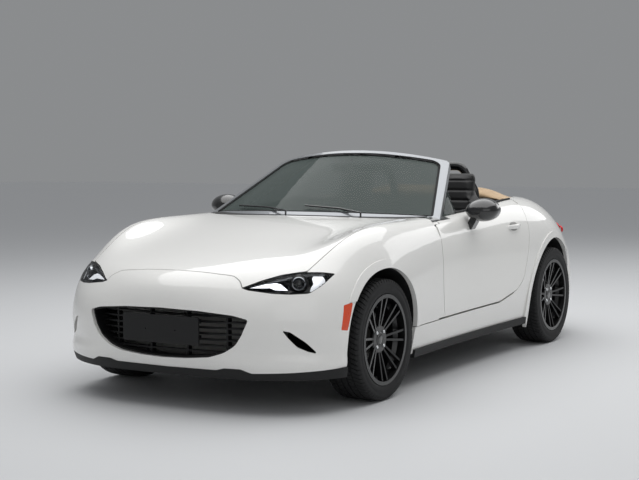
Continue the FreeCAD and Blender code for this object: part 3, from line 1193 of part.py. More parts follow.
exhaust_pipe = tube([Vector(size.engine_width / 2, along(400), 300), Vector(330, along(400), 300),
                     Vector(303, along(500), 137), Vector(225, along(700), 137),
                     Vector(225, along(1700), 137), Vector(200, along(2100), 137),
                     Vector(200, along(2590), 137), Vector(200, along(2740), 240)],
                    size.exhaust_radius, 120)
muffler = side_zone([(2690, 195, 40), (2690, 345, 60), (2950, 345, 60), (2950, 195, 40)], -40, 430)
tails = [Part.makeCylinder(size.tailpipe_radius, along(3130) - along(2950), Vector(x, along(2950), 245),
                           Vector(0, 1, 0)) for x in (250, 350)]
bores = [Part.makeCylinder(size.tailpipe_radius - 3, 120, Vector(x, along(3130) - 115, 245), Vector(0, 1, 0))
         for x in (250, 350)]
exhaust = muffler.fuse([exhaust_pipe] + tails).cut(bores)
keep("exhaust", one_solid(exhaust))

# Steering wheel, tilted to the driver
swheel = new_body("steering_wheel")
turned(swheel, "grip", [(cell.steering_wheel_grip * math.cos(math.radians(angle)),
                         cell.steering_wheel_radius - cell.steering_wheel_grip
                         + cell.steering_wheel_grip * math.sin(math.radians(angle)))
                        for angle in range(0, 360, 45)])
turned(swheel, "boss", [(-BOSS_BACK, 0), (14, 0), (14, 52), (4, 66), (-26, 66), (-BOSS_BACK, 30)])
spoke_sketch = sketch_on(swheel, "spokes_outline", "YZ_Plane")
reach = cell.steering_wheel_radius - cell.steering_wheel_grip
draw(spoke_sketch, [(-reach, -12), (-50, -26), (-18, -60), (-18, -reach), (18, -reach), (18, -60),
                    (50, -26), (reach, -12), (reach, 14), (50, 30), (-50, 30), (-reach, 14)])
spoke_pad = swheel.newObject("PartDesign::Pad", "spokes_pad")
spoke_pad.Profile = spoke_sketch
spoke_pad.Length = 12
spoke_pad.Midplane = True
swheel.Tip = spoke_pad
column_way = FreeCAD.Rotation(Vector(1, 0, 0), column_axis)
swheel.Placement = FreeCAD.Placement(wheel_centre, column_way)

doc.recompute()

# Check and write every piece
os.makedirs("parts", exist_ok=True)
for item in doc.Objects:
    if "Invalid" in item.State or "Error" in item.State:
        raise RuntimeError(f"{item.Name}: {item.State}")
for name, piece in pieces.items():
    shape = piece.Shape
    if shape.isNull() or not shape.isValid():
        raise RuntimeError(f"{name} is not a valid shape")
    shape.exportStep(f"parts/{name}.step")
print(len(pieces), "pieces")
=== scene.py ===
# %% [markdown]
# # A small roadster, dressed for a product photograph
# The car comes in as a frame: every panel, wheel and lamp is already at its real size and place.
# This lesson gives each of them its finish, and adds the small pieces that make a car look real:
# tread, lamp insides, leather, cloth, vents and handles. Lengths are in metres, +X is the car's
# left, -Y its nose and +Z up.

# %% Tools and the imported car
import json
import math

import bpy
from mathutils import Matrix, Vector

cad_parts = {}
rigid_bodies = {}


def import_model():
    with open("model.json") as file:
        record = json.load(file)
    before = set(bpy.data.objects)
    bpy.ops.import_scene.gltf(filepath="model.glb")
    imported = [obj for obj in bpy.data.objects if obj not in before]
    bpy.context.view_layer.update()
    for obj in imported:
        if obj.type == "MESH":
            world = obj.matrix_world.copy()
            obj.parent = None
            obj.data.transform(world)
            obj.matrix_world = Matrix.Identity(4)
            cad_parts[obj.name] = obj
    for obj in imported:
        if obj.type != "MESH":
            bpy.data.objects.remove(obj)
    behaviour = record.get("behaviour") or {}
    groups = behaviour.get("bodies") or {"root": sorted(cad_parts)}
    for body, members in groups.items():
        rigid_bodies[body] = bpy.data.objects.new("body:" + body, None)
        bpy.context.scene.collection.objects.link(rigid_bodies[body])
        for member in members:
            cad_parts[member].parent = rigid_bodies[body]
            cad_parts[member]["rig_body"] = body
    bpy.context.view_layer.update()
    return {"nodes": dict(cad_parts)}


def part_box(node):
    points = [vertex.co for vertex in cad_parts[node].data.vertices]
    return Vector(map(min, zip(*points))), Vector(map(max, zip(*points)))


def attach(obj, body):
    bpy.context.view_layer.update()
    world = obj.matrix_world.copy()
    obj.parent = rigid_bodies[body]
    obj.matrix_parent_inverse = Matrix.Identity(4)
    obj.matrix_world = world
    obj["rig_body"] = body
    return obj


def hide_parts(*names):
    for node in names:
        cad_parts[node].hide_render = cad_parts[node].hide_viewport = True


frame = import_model()
nodes = frame["nodes"]
print(len(nodes), "nodes in the frame")

# %% [markdown]
# ## Places that many pieces share
# The axles and the track are read off the frame's own boxes, so that a piece sits
# where the car has it.

# %% Measures of the car
BODY_OF = {name: node["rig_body"] for name, node in nodes.items()}


def middle(name):
    low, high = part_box(name)
    return (low + high) / 2


FRONT_HUB = middle("tyre_front_left")
REAR_HUB = middle("tyre_rear_left")
WHEELS = ("front_left", "front_right", "rear_left", "rear_right")
SIDES = {"left": 1.0, "right": -1.0}
TYRE_RADIUS = FRONT_HUB.z
print("wheelbase", round(REAR_HUB.y - FRONT_HUB.y, 3), "tyre radius", round(TYRE_RADIUS, 3))


def place(x, behind_axle, z):
    """Point from the centre plane, from the front axle backwards and from the ground, in mm."""
    return Vector((x / 1000, FRONT_HUB.y + behind_axle / 1000, z / 1000))


# %% [markdown]
# ## Colours and shader nodes
# A paint chart gives colours as sRGB hex values, but a shader wants linear light. One function turns
# them over, and one more adds a node with its settings and links. The others lead a finish's colour,
# relief or roughness by the value of a texture.

# %% Helpers for materials
NOISE, CELLS, WAVES = "ShaderNodeTexNoise", "ShaderNodeTexVoronoi", "ShaderNodeTexWave"


def linear(hex_colour):
    """Linear RGBA of an sRGB hex colour."""
    channels = [int(hex_colour[i:i + 2], 16) / 255 for i in (1, 3, 5)]
    return [c / 12.92 if c <= 0.04045 else ((c + 0.055) / 1.055) ** 2.4 for c in channels] + [1.0]


def add_node(material, kind, settings=(), links=()):
    """A node of a kind, its attributes and sockets set, and its inputs linked from other sockets."""
    node = material.node_tree.nodes.new(kind)
    for name, value in dict(settings).items():
        if name in node.inputs:
            node.inputs[name].default_value = value
        else:
            setattr(node, name, value)
    for name, source in dict(links).items():
        material.node_tree.links.new(source, node.inputs[name])
    return node


def shader_of(material):
    return material.node_tree.nodes["Principled BSDF"]


def finish_of(name, colour, **settings):
    """A material whose Principled shader has this colour and these settings."""
    material = bpy.data.materials.new(name)
    material.use_nodes = True
    settings["Base_Color"] = linear(colour)
    for socket, value in settings.items():
        shader_of(material).inputs[socket.replace("_", " ")].default_value = value
    return material


def pattern(material, kind, scale, **settings):
    """Value of a texture on Object coordinates: cells per metre, with about three waves in a cell."""
    spots = add_node(material, "ShaderNodeTexCoord")
    settings["Scale"] = scale
    texture = add_node(material, kind, settings, {"Vector": spots.outputs["Object"]})
    return texture.outputs["Distance" if kind == CELLS else "Fac"]


def toned(material, source, *stops):
    """The finish's colour led through (place, hex) stops by a value."""
    node = add_node(material, "ShaderNodeValToRGB", links={"Fac": source})
    band = node.color_ramp
    while len(band.elements) < len(stops):
        band.elements.new(0.5)
    for element, (spot, colour) in zip(band.elements, stops):
        element.position = spot
        element.color = linear(colour)
    material.node_tree.links.new(node.outputs["Color"], shader_of(material).inputs["Base Color"])


def grained(material, source, strength, depth, roughness=None):
    """Relief of a depth in metres led by a value, which may also spread the roughness."""
    node = add_node(material, "ShaderNodeBump", {"Strength": strength, "Distance": depth},
                    {"Height": source})
    material.node_tree.links.new(node.outputs["Normal"], shader_of(material).inputs["Normal"])
    if roughness:
        low, high = roughness
        spread = add_node(material, "ShaderNodeMapRange", {"To Min": low, "To Max": high}, {"Value": source})
        material.node_tree.links.new(spread.outputs["Result"], shader_of(material).inputs["Roughness"])


def two_toned(material, edge, inner, outer):
    """The finish's colour changed at a distance from the middle of the car: returns the mask."""
    spot = add_node(material, "ShaderNodeTexCoord")
    parts = add_node(material, "ShaderNodeSeparateXYZ", links={"Vector": spot.outputs["Object"]})
    away = add_node(material, "ShaderNodeMath", {"operation": "ABSOLUTE"}, {0: parts.outputs["X"]})
    outside = add_node(material, "ShaderNodeMath", {"operation": "GREATER_THAN"}, {0: away.outputs["Value"]})
    outside.inputs[1].default_value = edge
    toned(material, outside.outputs["Value"], (0.4, inner), (0.6, outer))
    return outside.outputs["Value"]


# %% [markdown]
# ## Pearl paint
# Pearl white is a white base coat with mica flakes under a clear coat. The flakes are finer than the
# render can show, so they are drawn at 0.8 mm as a very slight change of tone, and the coat gives the
# sharp reflection.

# %% Pearl paint
pearl = finish_of("pearl_white_clear_coat", "#E9E8E4", Roughness=0.42, Coat_Weight=1.0, Coat_Roughness=0.03)
toned(pearl, pattern(pearl, NOISE, 1200.0, Detail=2.0), (0.35, "#DFDEDA"), (0.65, "#F0EFEC"))

# %% [markdown]
# ## Black paints, plastics and rubber
# The wheels and mirrors are gloss black enamel. The lip, skirts, cowl and liners are moulded
# polypropylene, which scatters light through a fine grain of about 1 mm. Tyre rubber is darker still
# and has a satin sidewall.

# %% Black finishes
gloss_black = finish_of("gloss_black_enamel", "#0B0B0C", Roughness=0.25, Coat_Weight=1.0, Coat_Roughness=0.04)
wheel_black = finish_of("wheel_black_enamel", "#060607", Roughness=0.38, Coat_Weight=0.5, Coat_Roughness=0.08)
moulded = finish_of("grained_polypropylene", "#0B0B0C", Roughness=0.62)
grained(moulded, pattern(moulded, CELLS, 900.0), 0.4, 0.0004, roughness=(0.5, 0.7))
rubber = finish_of("tyre_rubber", "#101011", Roughness=0.75)
toned(rubber, pattern(rubber, NOISE, 30.0, Detail=6.0), (0.3, "#0D0D0E"), (0.75, "#181819"))
grained(rubber, pattern(rubber, NOISE, 700.0), 0.3, 0.0003)
seal_rubber = finish_of("seal_rubber", "#0E0E0F", Roughness=0.8)
grained(seal_rubber, pattern(seal_rubber, NOISE, 500.0), 0.3, 0.0003)

# %% [markdown]
# ## Metals
# The windscreen frame is silver-painted aluminium, the discs are turned grey iron with fine rings
# from the lathe, and the suspension is black-coated steel. A metal keeps the default IOR.

# %% Metal finishes
silver = finish_of("silver_frame_paint", "#8F9296", Metallic=0.7, Roughness=0.32, Coat_Weight=0.8,
                   Coat_Roughness=0.05)
disc_iron = finish_of("turned_grey_iron", "#8D8C8A", Metallic=1.0, Roughness=0.35)
rings = add_node(disc_iron, WAVES, {"wave_type": "RINGS", "rings_direction": "X", "Scale": 160.0,
                                    "Distortion": 0.4, "Detail": 2.0})
grained(disc_iron, rings.outputs["Fac"], 0.2, 0.0002)
coated_steel = finish_of("black_coated_steel", "#1B1C1D", Metallic=0.2, Roughness=0.5)
grained(coated_steel, pattern(coated_steel, NOISE, 260.0), 0.3, 0.0005)
cast_alloy = finish_of("cast_aluminium", "#7F8183", Metallic=0.9, Roughness=0.55)
grained(cast_alloy, pattern(cast_alloy, NOISE, 420.0), 0.5, 0.0006)
caliper_iron = finish_of("dark_cast_iron", "#38393B", Metallic=0.7, Roughness=0.6)
grained(caliper_iron, pattern(caliper_iron, NOISE, 420.0), 0.5, 0.0006)
stainless = finish_of("brushed_stainless_steel", "#9C9A96", Metallic=1.0, Roughness=0.3)
grained(stainless, pattern(stainless, NOISE, 300.0), 0.15, 0.0003)
chrome = finish_of("bright_chrome", "#D6D8DA", Metallic=1.0, Roughness=0.08)

# %% [markdown]
# ## Glass and lenses
# A window pane is thin: straight on it lets nearly all the light through, at a flat angle it mirrors
# the sky. A Fresnel node gives that to the alpha, so that what lies behind keeps its own light.


# %% Clear finishes
def pane(name, colour, clearest, dullest=0.92, roughness=0.02):
    """Thin transparent sheet: its alpha goes from clearest, seen straight on, to dullest at the edge."""
    material = finish_of(name, colour, Roughness=roughness, IOR=1.5)
    sheen = add_node(material, "ShaderNodeFresnel", {"IOR": 1.5})
    alpha = add_node(material, "ShaderNodeMapRange",
                     {"From Min": 0.04, "From Max": 0.7, "To Min": clearest, "To Max": dullest},
                     {"Value": sheen.outputs["Fac"]})
    material.node_tree.links.new(alpha.outputs["Result"], shader_of(material).inputs["Alpha"])
    return material


# The window's grey is partly the glass's own tint and partly painted reflection, a haze that covers more of
# what lies behind at a flat angle.
window_glass_painted_haze = pane("laminated_glass_with_painted_haze", "#56605D", 0.17)
clear_lens = pane("clear_polycarbonate_lens", "#1E2124", 0.02, 0.6)
red_lens = pane("red_acrylic_lens", "#8E0B10", 0.55)
amber = finish_of("amber_acrylic_lens", "#DB440C", Roughness=0.12, Coat_Weight=1.0)
grained(amber, pattern(amber, WAVES, 55.0, bands_direction="Z"), 0.5, 0.001)
mirror_glass = finish_of("silvered_mirror_glass", "#C9CDD0", Metallic=1.0, Roughness=0.02)
# Glow colour of the running light, which is a lamp, and of the outer reflector, whose glow is painted light.
LAMP_AND_PAINTED_GLOW = linear("#F4F8FF")
lamp_white = finish_of("lit_white_lamp", "#FFFFFF", Roughness=0.3, Emission_Color=LAMP_AND_PAINTED_GLOW,
                       Emission_Strength=1.6)
lamp_red = finish_of("red_light_guide", "#C81016", Roughness=0.25)
reflector = finish_of("vapour_metallised_reflector", "#B9BDC2", Metallic=1.0, Roughness=0.16)
lamp_black = finish_of("dark_lamp_bezel_plastic", "#0C0D0E", Roughness=0.32)
# The outer reflector glows faintly though it is no lamp: painted glow.
reflector_with_painted_glow = finish_of("reflector_painted_glow", "#F2F4F6", Metallic=0.5, Roughness=0.35,
                             Emission_Color=LAMP_AND_PAINTED_GLOW, Emission_Strength=0.45)
grey_bezel = finish_of("grey_lamp_bezel", "#9EA2A6", Metallic=0.2, Roughness=0.4)
# The handle's bowl is painted a darker grey than the body: painted shade in the recess.
painted_shade_recess_finish = finish_of("recess_painted_shade", "#8F8E8B", Roughness=0.45, Coat_Weight=0.6)
projector_glass = finish_of("projector_lens_glass", "#101418", Roughness=0.04, IOR=1.5, Coat_Weight=1.0)

# %% [markdown]
# ## Cabin finishes
# Seats in black leather, a soft-grained dashboard, carpet with short loops, and the folded top in
# beige woven cloth. The leather's grain is about 1.5 mm and the cloth's threads are under 1 mm. They
# are drawn here at 2.4 and 2 mm, so that they still show.

# %% Leather, soft plastic, carpet and cloth
leather = finish_of("black_grained_leather", "#161617", Roughness=0.5)
grained(leather, pattern(leather, CELLS, 420.0, feature="DISTANCE_TO_EDGE"), 0.35, 0.0008,
        roughness=(0.42, 0.6))
dash_skin = finish_of("soft_grained_dash_skin", "#17181A", Roughness=0.62)
grained(dash_skin, pattern(dash_skin, CELLS, 700.0), 0.4, 0.0005)
carpet = finish_of("loop_pile_carpet", "#131314", Roughness=0.95, Sheen_Weight=0.3)
grained(carpet, pattern(carpet, NOISE, 350.0, Detail=4.0), 0.8, 0.002)
top_cloth = finish_of("beige_woven_top_cloth", "#B99E7C", Roughness=0.9, Sheen_Weight=0.2)
warp = pattern(top_cloth, WAVES, 160.0, bands_direction="X")
weft = pattern(top_cloth, WAVES, 160.0, bands_direction="Y")
woven = add_node(top_cloth, "ShaderNodeMath", {"operation": "MULTIPLY"}, {0: warp, 1: weft})
grained(top_cloth, woven.outputs["Value"], 0.5, 0.0008)
toned(top_cloth, pattern(top_cloth, NOISE, 9.0, Detail=5.0), (0.3, "#AD9270"), (0.7, "#C6AB88"))

# %% [markdown]
# ## A tub in two finishes
# The tub is painted like the body where the doors hang on it, and carpeted inside. The change runs
# along the sill, so the material asks how far from the middle of the car it is.

# %% Tub finish
SILL_PAINT_FROM = 0.699
tub_finish = finish_of("painted_and_carpeted_tub", "#131314", Roughness=0.8)
two_toned(tub_finish, SILL_PAINT_FROM, "#131314", "#DAD9D5")
grained(tub_finish, pattern(tub_finish, NOISE, 350.0), 0.3, 0.001)

# %% [markdown]
# ## Doors in two finishes
# A door is painted outside and on its edges, and carries a soft black trim panel towards the seats.
# The panel covers the innermost 12 mm, so this material too asks how far from the middle it is.

# %% Door finish
DOOR_PAINT_FROM = 0.712
door_finish = finish_of("painted_and_trimmed_door", "#E9E8E4", Roughness=0.42, Coat_Weight=1.0,
                        Coat_Roughness=0.03)
painted = two_toned(door_finish, DOOR_PAINT_FROM, "#17181A", "#E9E8E4")
door_finish.node_tree.links.new(painted, shader_of(door_finish).inputs["Coat Weight"])

# %% [markdown]
# ## Bay paint
# The engine bay and the aprons are painted a darker grey than the body, without the pearl's clear coat.

# %% Bay paint
bay_paint = finish_of("flat_white_bay_paint", "#B9B8B4", Roughness=0.6)
grained(bay_paint, pattern(bay_paint, NOISE, 500.0), 0.2, 0.0002)

# %% [markdown]
# ## Dressing the nodes
# Each node of the frame that already has its real shape keeps it, and only gets its finish.

# %% Finish of every kept node
FINISHES = {
    "floor": tub_finish, "firewall": tub_finish, "engine_bay": bay_paint, "bulkhead": tub_finish,
    "boot_tray": carpet, "rear_deck": pearl, "front_bumper": pearl, "rear_bumper": pearl, "hood": pearl,
    "trunk_lid": pearl, "cowl": moulded, "grille": moulded, "lower_trim": moulded,
    "arch_liners": moulded, "windscreen_frame": silver, "windscreen": window_glass_painted_haze, "headlamps": clear_lens,
    "tail_lamps": red_lens, "side_markers": amber, "dashboard": dash_skin, "console": dash_skin,
    "roll_hoops": gloss_black, "soft_top": top_cloth, "interior_mirror": moulded, "antenna": gloss_black,
    "wipers": gloss_black, "front_suspension": coated_steel, "front_subframe": coated_steel,
    "rear_suspension": coated_steel, "engine": cast_alloy, "driveline": cast_alloy, "exhaust": stainless,
    "steering_wheel": leather,
}
for side in SIDES:
    FINISHES |= {f"fender_{side}": pearl, f"body_side_{side}": pearl, f"door_{side}": door_finish,
                 f"mirror_{side}": gloss_black, f"quarter_light_{side}": window_glass_painted_haze,
                 f"seat_{side}": leather, f"knuckle_front_{side}": caliper_iron}
for wheel in WHEELS:
    FINISHES |= {f"tyre_{wheel}": rubber, f"rim_{wheel}": wheel_black, f"brake_disc_{wheel}": disc_iron}
for name, node in nodes.items():
    if name not in FINISHES:
        raise ValueError(f"no finish for {name}")
    node.data.materials.clear()
    node.data.materials.append(FINISHES[name])
print(len(FINISHES), "finishes given")

# %% [markdown]
# ## Helpers for new pieces
# Most new pieces start in one of three ways, as by hand: an outline that is pushed into a solid, a
# profile that is spun round an axle, or a grid whose points are laid on a curved form. Each helper
# leaves its piece at the origin, with its place in its mesh.

# %% Outline, spin, skin and copy
DOUBLES = 0.00002


def alone(piece):
    """Only this piece selected and active."""
    bpy.ops.object.select_all(action="DESELECT")
    piece.select_set(True)
    bpy.context.view_layer.objects.active = piece


def dressed(piece, name, finish, carrier, smooth=35):
    """Name, finish and smooth shading; the piece rides with the node that carries it."""
    piece.name = name
    piece.data.materials.clear()
    piece.data.materials.append(finish)
    alone(piece)
    bpy.ops.object.shade_smooth_by_angle(angle=math.radians(smooth))
    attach(piece, BODY_OF[carrier])


def outlined(spots):
    """Flat or gently bent face whose corners lie at these places."""
    bpy.ops.object.select_all(action="DESELECT")
    bpy.ops.mesh.primitive_circle_add(vertices=len(spots), radius=0.01, fill_type="NGON")
    piece = bpy.context.object
    for vertex, spot in zip(piece.data.vertices, spots):
        vertex.co = spot
    return piece


def opened(piece, select_by=None):
    """The piece in edit mode, all selected."""
    alone(piece)
    bpy.ops.object.mode_set(mode="EDIT")
    if select_by:
        bpy.ops.mesh.select_mode(type=select_by)
    bpy.ops.mesh.select_all(action="SELECT")


def closed_up(merge_within=None):
    """The edited piece's doubles merged and its faces turned outwards; leaves edit mode."""
    bpy.ops.mesh.select_all(action="SELECT")
    if merge_within:
        bpy.ops.mesh.remove_doubles(threshold=merge_within)
    bpy.ops.mesh.normals_make_consistent(inside=False)
    bpy.ops.object.mode_set(mode="OBJECT")


def pushed(piece, push):
    """The piece's faces extruded by a vector into a closed solid."""
    opened(piece)
    bpy.ops.mesh.extrude_region_move(TRANSFORM_OT_translate={"value": push})
    closed_up()
    return piece


def spun(corners, centre, axis, steps=48, closed=False):
    """Profile of (along the axis, radius) in metres, spun once round an axis through a centre."""
    axis = Vector(axis).normalized()
    out = axis.orthogonal().normalized()
    bpy.ops.object.select_all(action="DESELECT")
    bpy.ops.mesh.primitive_circle_add(vertices=len(corners), radius=0.01, fill_type="NOTHING")
    piece = bpy.context.object
    for vertex, (run, radius) in zip(piece.data.vertices, corners):
        vertex.co = Vector(centre) + axis * run + out * radius
    if not closed:
        bpy.ops.object.mode_set(mode="EDIT")
        bpy.ops.mesh.select_all(action="DESELECT")
        bpy.ops.object.mode_set(mode="OBJECT")
        piece.data.edges[len(corners) - 1].select = True
        bpy.ops.object.mode_set(mode="EDIT")
        bpy.ops.mesh.select_mode(type="EDGE")
        bpy.ops.mesh.delete(type="EDGE_FACE")
        bpy.ops.object.mode_set(mode="OBJECT")
    opened(piece, "VERT")
    bpy.ops.mesh.spin(steps=steps, angle=math.tau, center=centre, axis=axis)
    closed_up(DOUBLES)
    return piece


def skinned(rows, ring=False, capped=False):
    """Grid laid on rows of places; as a ring, each row closes on itself, and its ends may be capped."""
    count = len(rows[0])
    bpy.ops.object.select_all(action="DESELECT")
    bpy.ops.mesh.primitive_grid_add(x_subdivisions=count - 1, y_subdivisions=len(rows) - 1, size=0.1)
    piece = bpy.context.object
    for vertex, spot in zip(piece.data.vertices, [spot for row in rows for spot in row]):
        vertex.co = spot
    opened(piece)
    if ring:
        bpy.ops.mesh.remove_doubles(threshold=DOUBLES)
    if capped:
        bpy.ops.mesh.select_all(action="DESELECT")
        bpy.ops.mesh.select_mode(type="EDGE")
        bpy.ops.mesh.select_non_manifold()
        bpy.ops.mesh.edge_face_add()
    closed_up()
    return piece


def applied(piece, kind, **settings):
    """A modifier with its settings, applied."""
    alone(piece)
    modifier = piece.modifiers.new(kind.lower(), kind)
    for name, value in settings.items():
        setattr(modifier, name, value)
    bpy.ops.object.modifier_apply(modifier=modifier.name)
    return piece


def duplicate(piece, change):
    """Copy with its own mesh, its points moved by a matrix; a mirror image is turned right side out."""
    alone(piece)
    bpy.ops.object.duplicate(linked=False)
    twin = bpy.context.object
    twin.data.transform(change)
    if change.determinant() < 0:
        twin.data.flip_normals()
    return twin


def joined(pieces):
    """Several pieces as one."""
    bpy.ops.object.select_all(action="DESELECT")
    for piece in pieces:
        piece.select_set(True)
    bpy.context.view_layer.objects.active = pieces[0]
    bpy.ops.object.join()
    return bpy.context.object


def rounded(piece, width, segments=2):
    """The piece's sharp edges rounded."""
    return applied(piece, "BEVEL", width=width, segments=segments, limit_method="ANGLE")


MIRROR = Matrix.Scale(-1, 4, (1, 0, 0))


def mirrored_pair(piece):
    """A left piece and its mirror image, as one."""
    return joined([piece, duplicate(piece, MIRROR)])


def left_and_right(piece, name, finish, node_name):
    """A left piece and its mirror image, each dressed; {} in the node's name stands for the side."""
    for side in SIDES:
        twin = piece if side == "left" else duplicate(piece, MIRROR)
        dressed(twin, f"{name}_{side}", finish, node_name.format(side), smooth=60)


def squarish(value, power):
    """A sine or cosine drawn out towards 1 and -1, which squares off a round outline."""
    return abs(value) ** power * math.copysign(1, value)


def squarish_outline(count, wide_power, tall_power):
    """Pairs of (across, up) from 1 to -1 round a rounded oblong."""
    turns = [math.tau * index / count for index in range(count)]
    return [(squarish(math.cos(turn), wide_power), squarish(math.sin(turn), tall_power)) for turn in turns]


def touched(node_name, start, way):
    """Where a ray from a place first meets a node, or None."""
    hit, where, _, _ = nodes[node_name].ray_cast(start, Vector(way))
    return where if hit else None


def part_of_node(name, keep_face):
    """Copy of a node's mesh, merged, with only the faces that pass a test of middle and normal."""
    bpy.ops.object.select_all(action="DESELECT")
    bpy.ops.mesh.primitive_cube_add(size=0.01)
    piece = bpy.context.object
    piece.data = nodes[name].data.copy()
    opened(piece, "FACE")
    bpy.ops.mesh.remove_doubles(threshold=DOUBLES / 2)
    bpy.ops.mesh.select_all(action="DESELECT")
    bpy.ops.object.mode_set(mode="OBJECT")
    for face in piece.data.polygons:
        face.select = not keep_face(face.center, face.normal)
    bpy.ops.object.mode_set(mode="EDIT")
    bpy.ops.mesh.delete(type="FACE")
    bpy.ops.object.mode_set(mode="OBJECT")
    return piece


# %% [markdown]
# ## Headlamps
# A headlamp is a clear cover over a dark tub. In the tub sit a projector in a bright ring, a slim
# running light that points to the nose, and a polished outer reflector with a faint painted glow, under
# a grey bezel and a black gasket that follow the upper edge. The cover and the tub are cut from the
# lamp's own solid, so both fit the hole in the body, and the inner parts stand a little way behind the
# cover, along the lamp's axis.

# %% Headlamp cover and tub
FACES_OUT = 0.1
COVER_THICKNESS = 0.0025
TUB_THICKNESS = 0.002
RIM_REACH = 0.02


def mirrored_axis(x, y, z):
    """Directions of a left lamp and of its mirror image."""
    return {"left": Vector((x, y, z)).normalized(), "right": Vector((-x, y, z)).normalized()}


LAMP_AXIS = mirrored_axis(0.52, -0.84, 0.12)


def lamp_shells(node_name, axis, lens_finish, covers_name, tubs_name, sink):
    """Clear covers and dark tubs cut from the lamps' solids; away from its rim a tub moves by sink."""
    def along(spot):
        return axis["left" if spot.x > 0 else "right"]

    cover = part_of_node(node_name, lambda spot, way: way.dot(along(spot)) > FACES_OUT)
    rim = [point.co.copy() for point in cover.data.vertices]
    applied(cover, "SOLIDIFY", thickness=COVER_THICKNESS, offset=-1)
    dressed(cover, covers_name, lens_finish, node_name)
    tub = part_of_node(node_name, lambda spot, way: way.dot(along(spot)) <= FACES_OUT)
    for point in tub.data.vertices:
        if min((point.co - spot).length for spot in rim) > RIM_REACH:
            point.co += along(point.co) * sink
    applied(tub, "SOLIDIFY", thickness=TUB_THICKNESS, offset=-1)
    dressed(tub, tubs_name, lamp_black, node_name)
    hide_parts(node_name)


lamp_shells("headlamps", LAMP_AXIS, clear_lens, "headlamp_covers", "headlamp_tubs", 0.045)

# %% Projector, running light and reflector


def behind_cover(x, s, z, depth):
    return place(x, s, z) - LAMP_AXIS["left"] * depth


def lamp_plate(name, places, finish, depth, thickness=0.004):
    """Thin shaped plate behind the cover, on the left and mirrored to the right."""
    plate = outlined([behind_cover(*spot, depth) for spot in places])
    pushed(plate, -LAMP_AXIS["left"] * thickness)
    dressed(mirrored_pair(rounded(plate, 0.0012)), name, finish, "headlamps")


PROJECTOR = (647, -509, 627)


def projector_part(name, corners, finish, depth, closed=True):
    """Turned part of the projector, on the left and mirrored to the right."""
    part = spun(corners, behind_cover(*PROJECTOR, depth), LAMP_AXIS["left"], closed=closed)
    dressed(mirrored_pair(part), name, finish, "headlamps")


projector_part("projector_rings", [(0.0, 0.0265), (0.003, 0.0285), (0.0035, 0.0305), (0.001, 0.0325),
                                   (-0.03, 0.0325), (-0.03, 0.0255)], reflector, 0.012)
projector_part("projector_lenses", [(-0.012, 0.0258), (-0.006, 0.0235), (0.0, 0.0185), (0.004, 0.0115),
                                    (0.0055, 0.0)], projector_glass, 0.018, closed=False)
projector_part("projector_surrounds", [(-0.012, 0.034), (-0.024, 0.046), (-0.03, 0.047), (-0.03, 0.032),
                                       (-0.012, 0.032)], lamp_black, 0.012)
RUNNING_LIGHT = [(447, -625, 607), (507, -586, 624), (553, -561, 630), (576, -555, 624), (616, -556, 597),
                 (561, -584, 599), (536, -588, 608), (492, -607, 607)]
lamp_plate("running_lights", RUNNING_LIGHT, lamp_white, 0.014)
REFLECTOR = [(686, -440, 659), (722, -410, 656), (734, -410, 642), (741, -418, 627), (731, -454, 603),
             (719, -479, 588), (701, -496, 589), (700, -484, 607), (703, -466, 624), (688, -455, 647)]
lamp_plate("outer_reflectors", REFLECTOR, reflector_with_painted_glow, 0.014)
BEZEL = [(431, -631, 606), (477, -593, 628), (523, -559, 642), (570, -526, 651), (622, -483, 662),
         (671, -434, 672), (722, -391, 666), (726, -397, 660), (678, -447, 660), (626, -490, 656),
         (605, -510, 650), (576, -536, 641), (518, -577, 628), (466, -611, 615)]
lamp_plate("lamp_bezels", BEZEL, grey_bezel, 0.009, 0.003)
GASKET = [(415, -637, 605), (486, -582, 638), (559, -519, 662), (651, -445, 677), (709, -397, 675),
          (752, -350, 667), (738, -376, 662), (706, -408, 668), (660, -447, 671), (600, -499, 656),
          (544, -546, 642), (486, -593, 624), (430, -632, 602)]
lamp_plate("lamp_gaskets", GASKET, seal_rubber, 0.004, 0.003)
print("headlamps dressed")

# %% [markdown]
# ## Tyres
# A tyre's tread is cut by grooves that run round it and by slanting ones across its shoulders. One
# 5 degree slice of the tyre is laid out with a groove at its end, and spin with copies sets 72 of
# them round the axle, so the pattern closes on itself.

# %% Tyre slice and its copies
TREAD_SLICES = 72
SLICE_GAP = 0.00005
# Half width, radius and the share of the cross groove's depth, in mm.
TYRE_PROFILE = [(88.7, 216, 0), (90.7, 229.4, 0), (96.0, 232, 0), (99.6, 240, 0), (101.2, 252, 0),
                (101.4, 262, 0), (100.9, 264, 0), (100.4, 275, 0), (100.9, 277, 0), (99.2, 288, 0.3),
                (96.2, 297, 1), (90, 303.2, 1), (84, 305, 1), (58, 306.6, 1), (55.5, 306.8, 0),
                (54.5, 300.5, 0), (48.5, 300.5, 0), (47.5, 307.2, 0), (45, 307.3, 0.7), (23, 307.8, 0.7),
                (21, 307.8, 0), (20, 301, 0), (14, 301, 0), (13, 307.9, 0), (6, 308, 0)]
GROOVE_DEPTH = 6.0
SLANT = math.radians(9)
SLICE_STEPS = ((0.0, 0.0), (2.0, 0.0), (3.9, 0.0), (4.1, 1.0), (4.8, 1.0), (5.0, 0.0))


def tyre_slice(hub):
    """Rows of one slice: groove edges at 3.9 and 5 degrees, slanting back towards the shoulders."""
    full = TYRE_PROFILE + [(-x, radius, cut) for x, radius, cut in reversed(TYRE_PROFILE)]
    rows = []
    for degrees, sunk in SLICE_STEPS:
        row = []
        for x, radius, cut in full:
            angle = math.radians(degrees) + SLANT * abs(x) / 100
            deep = radius - GROOVE_DEPTH * cut * sunk
            row.append(Vector((hub.x + x / 1000, hub.y + deep / 1000 * math.cos(angle),
                               hub.z + deep / 1000 * math.sin(angle))))
        rows.append(row)
    return rows


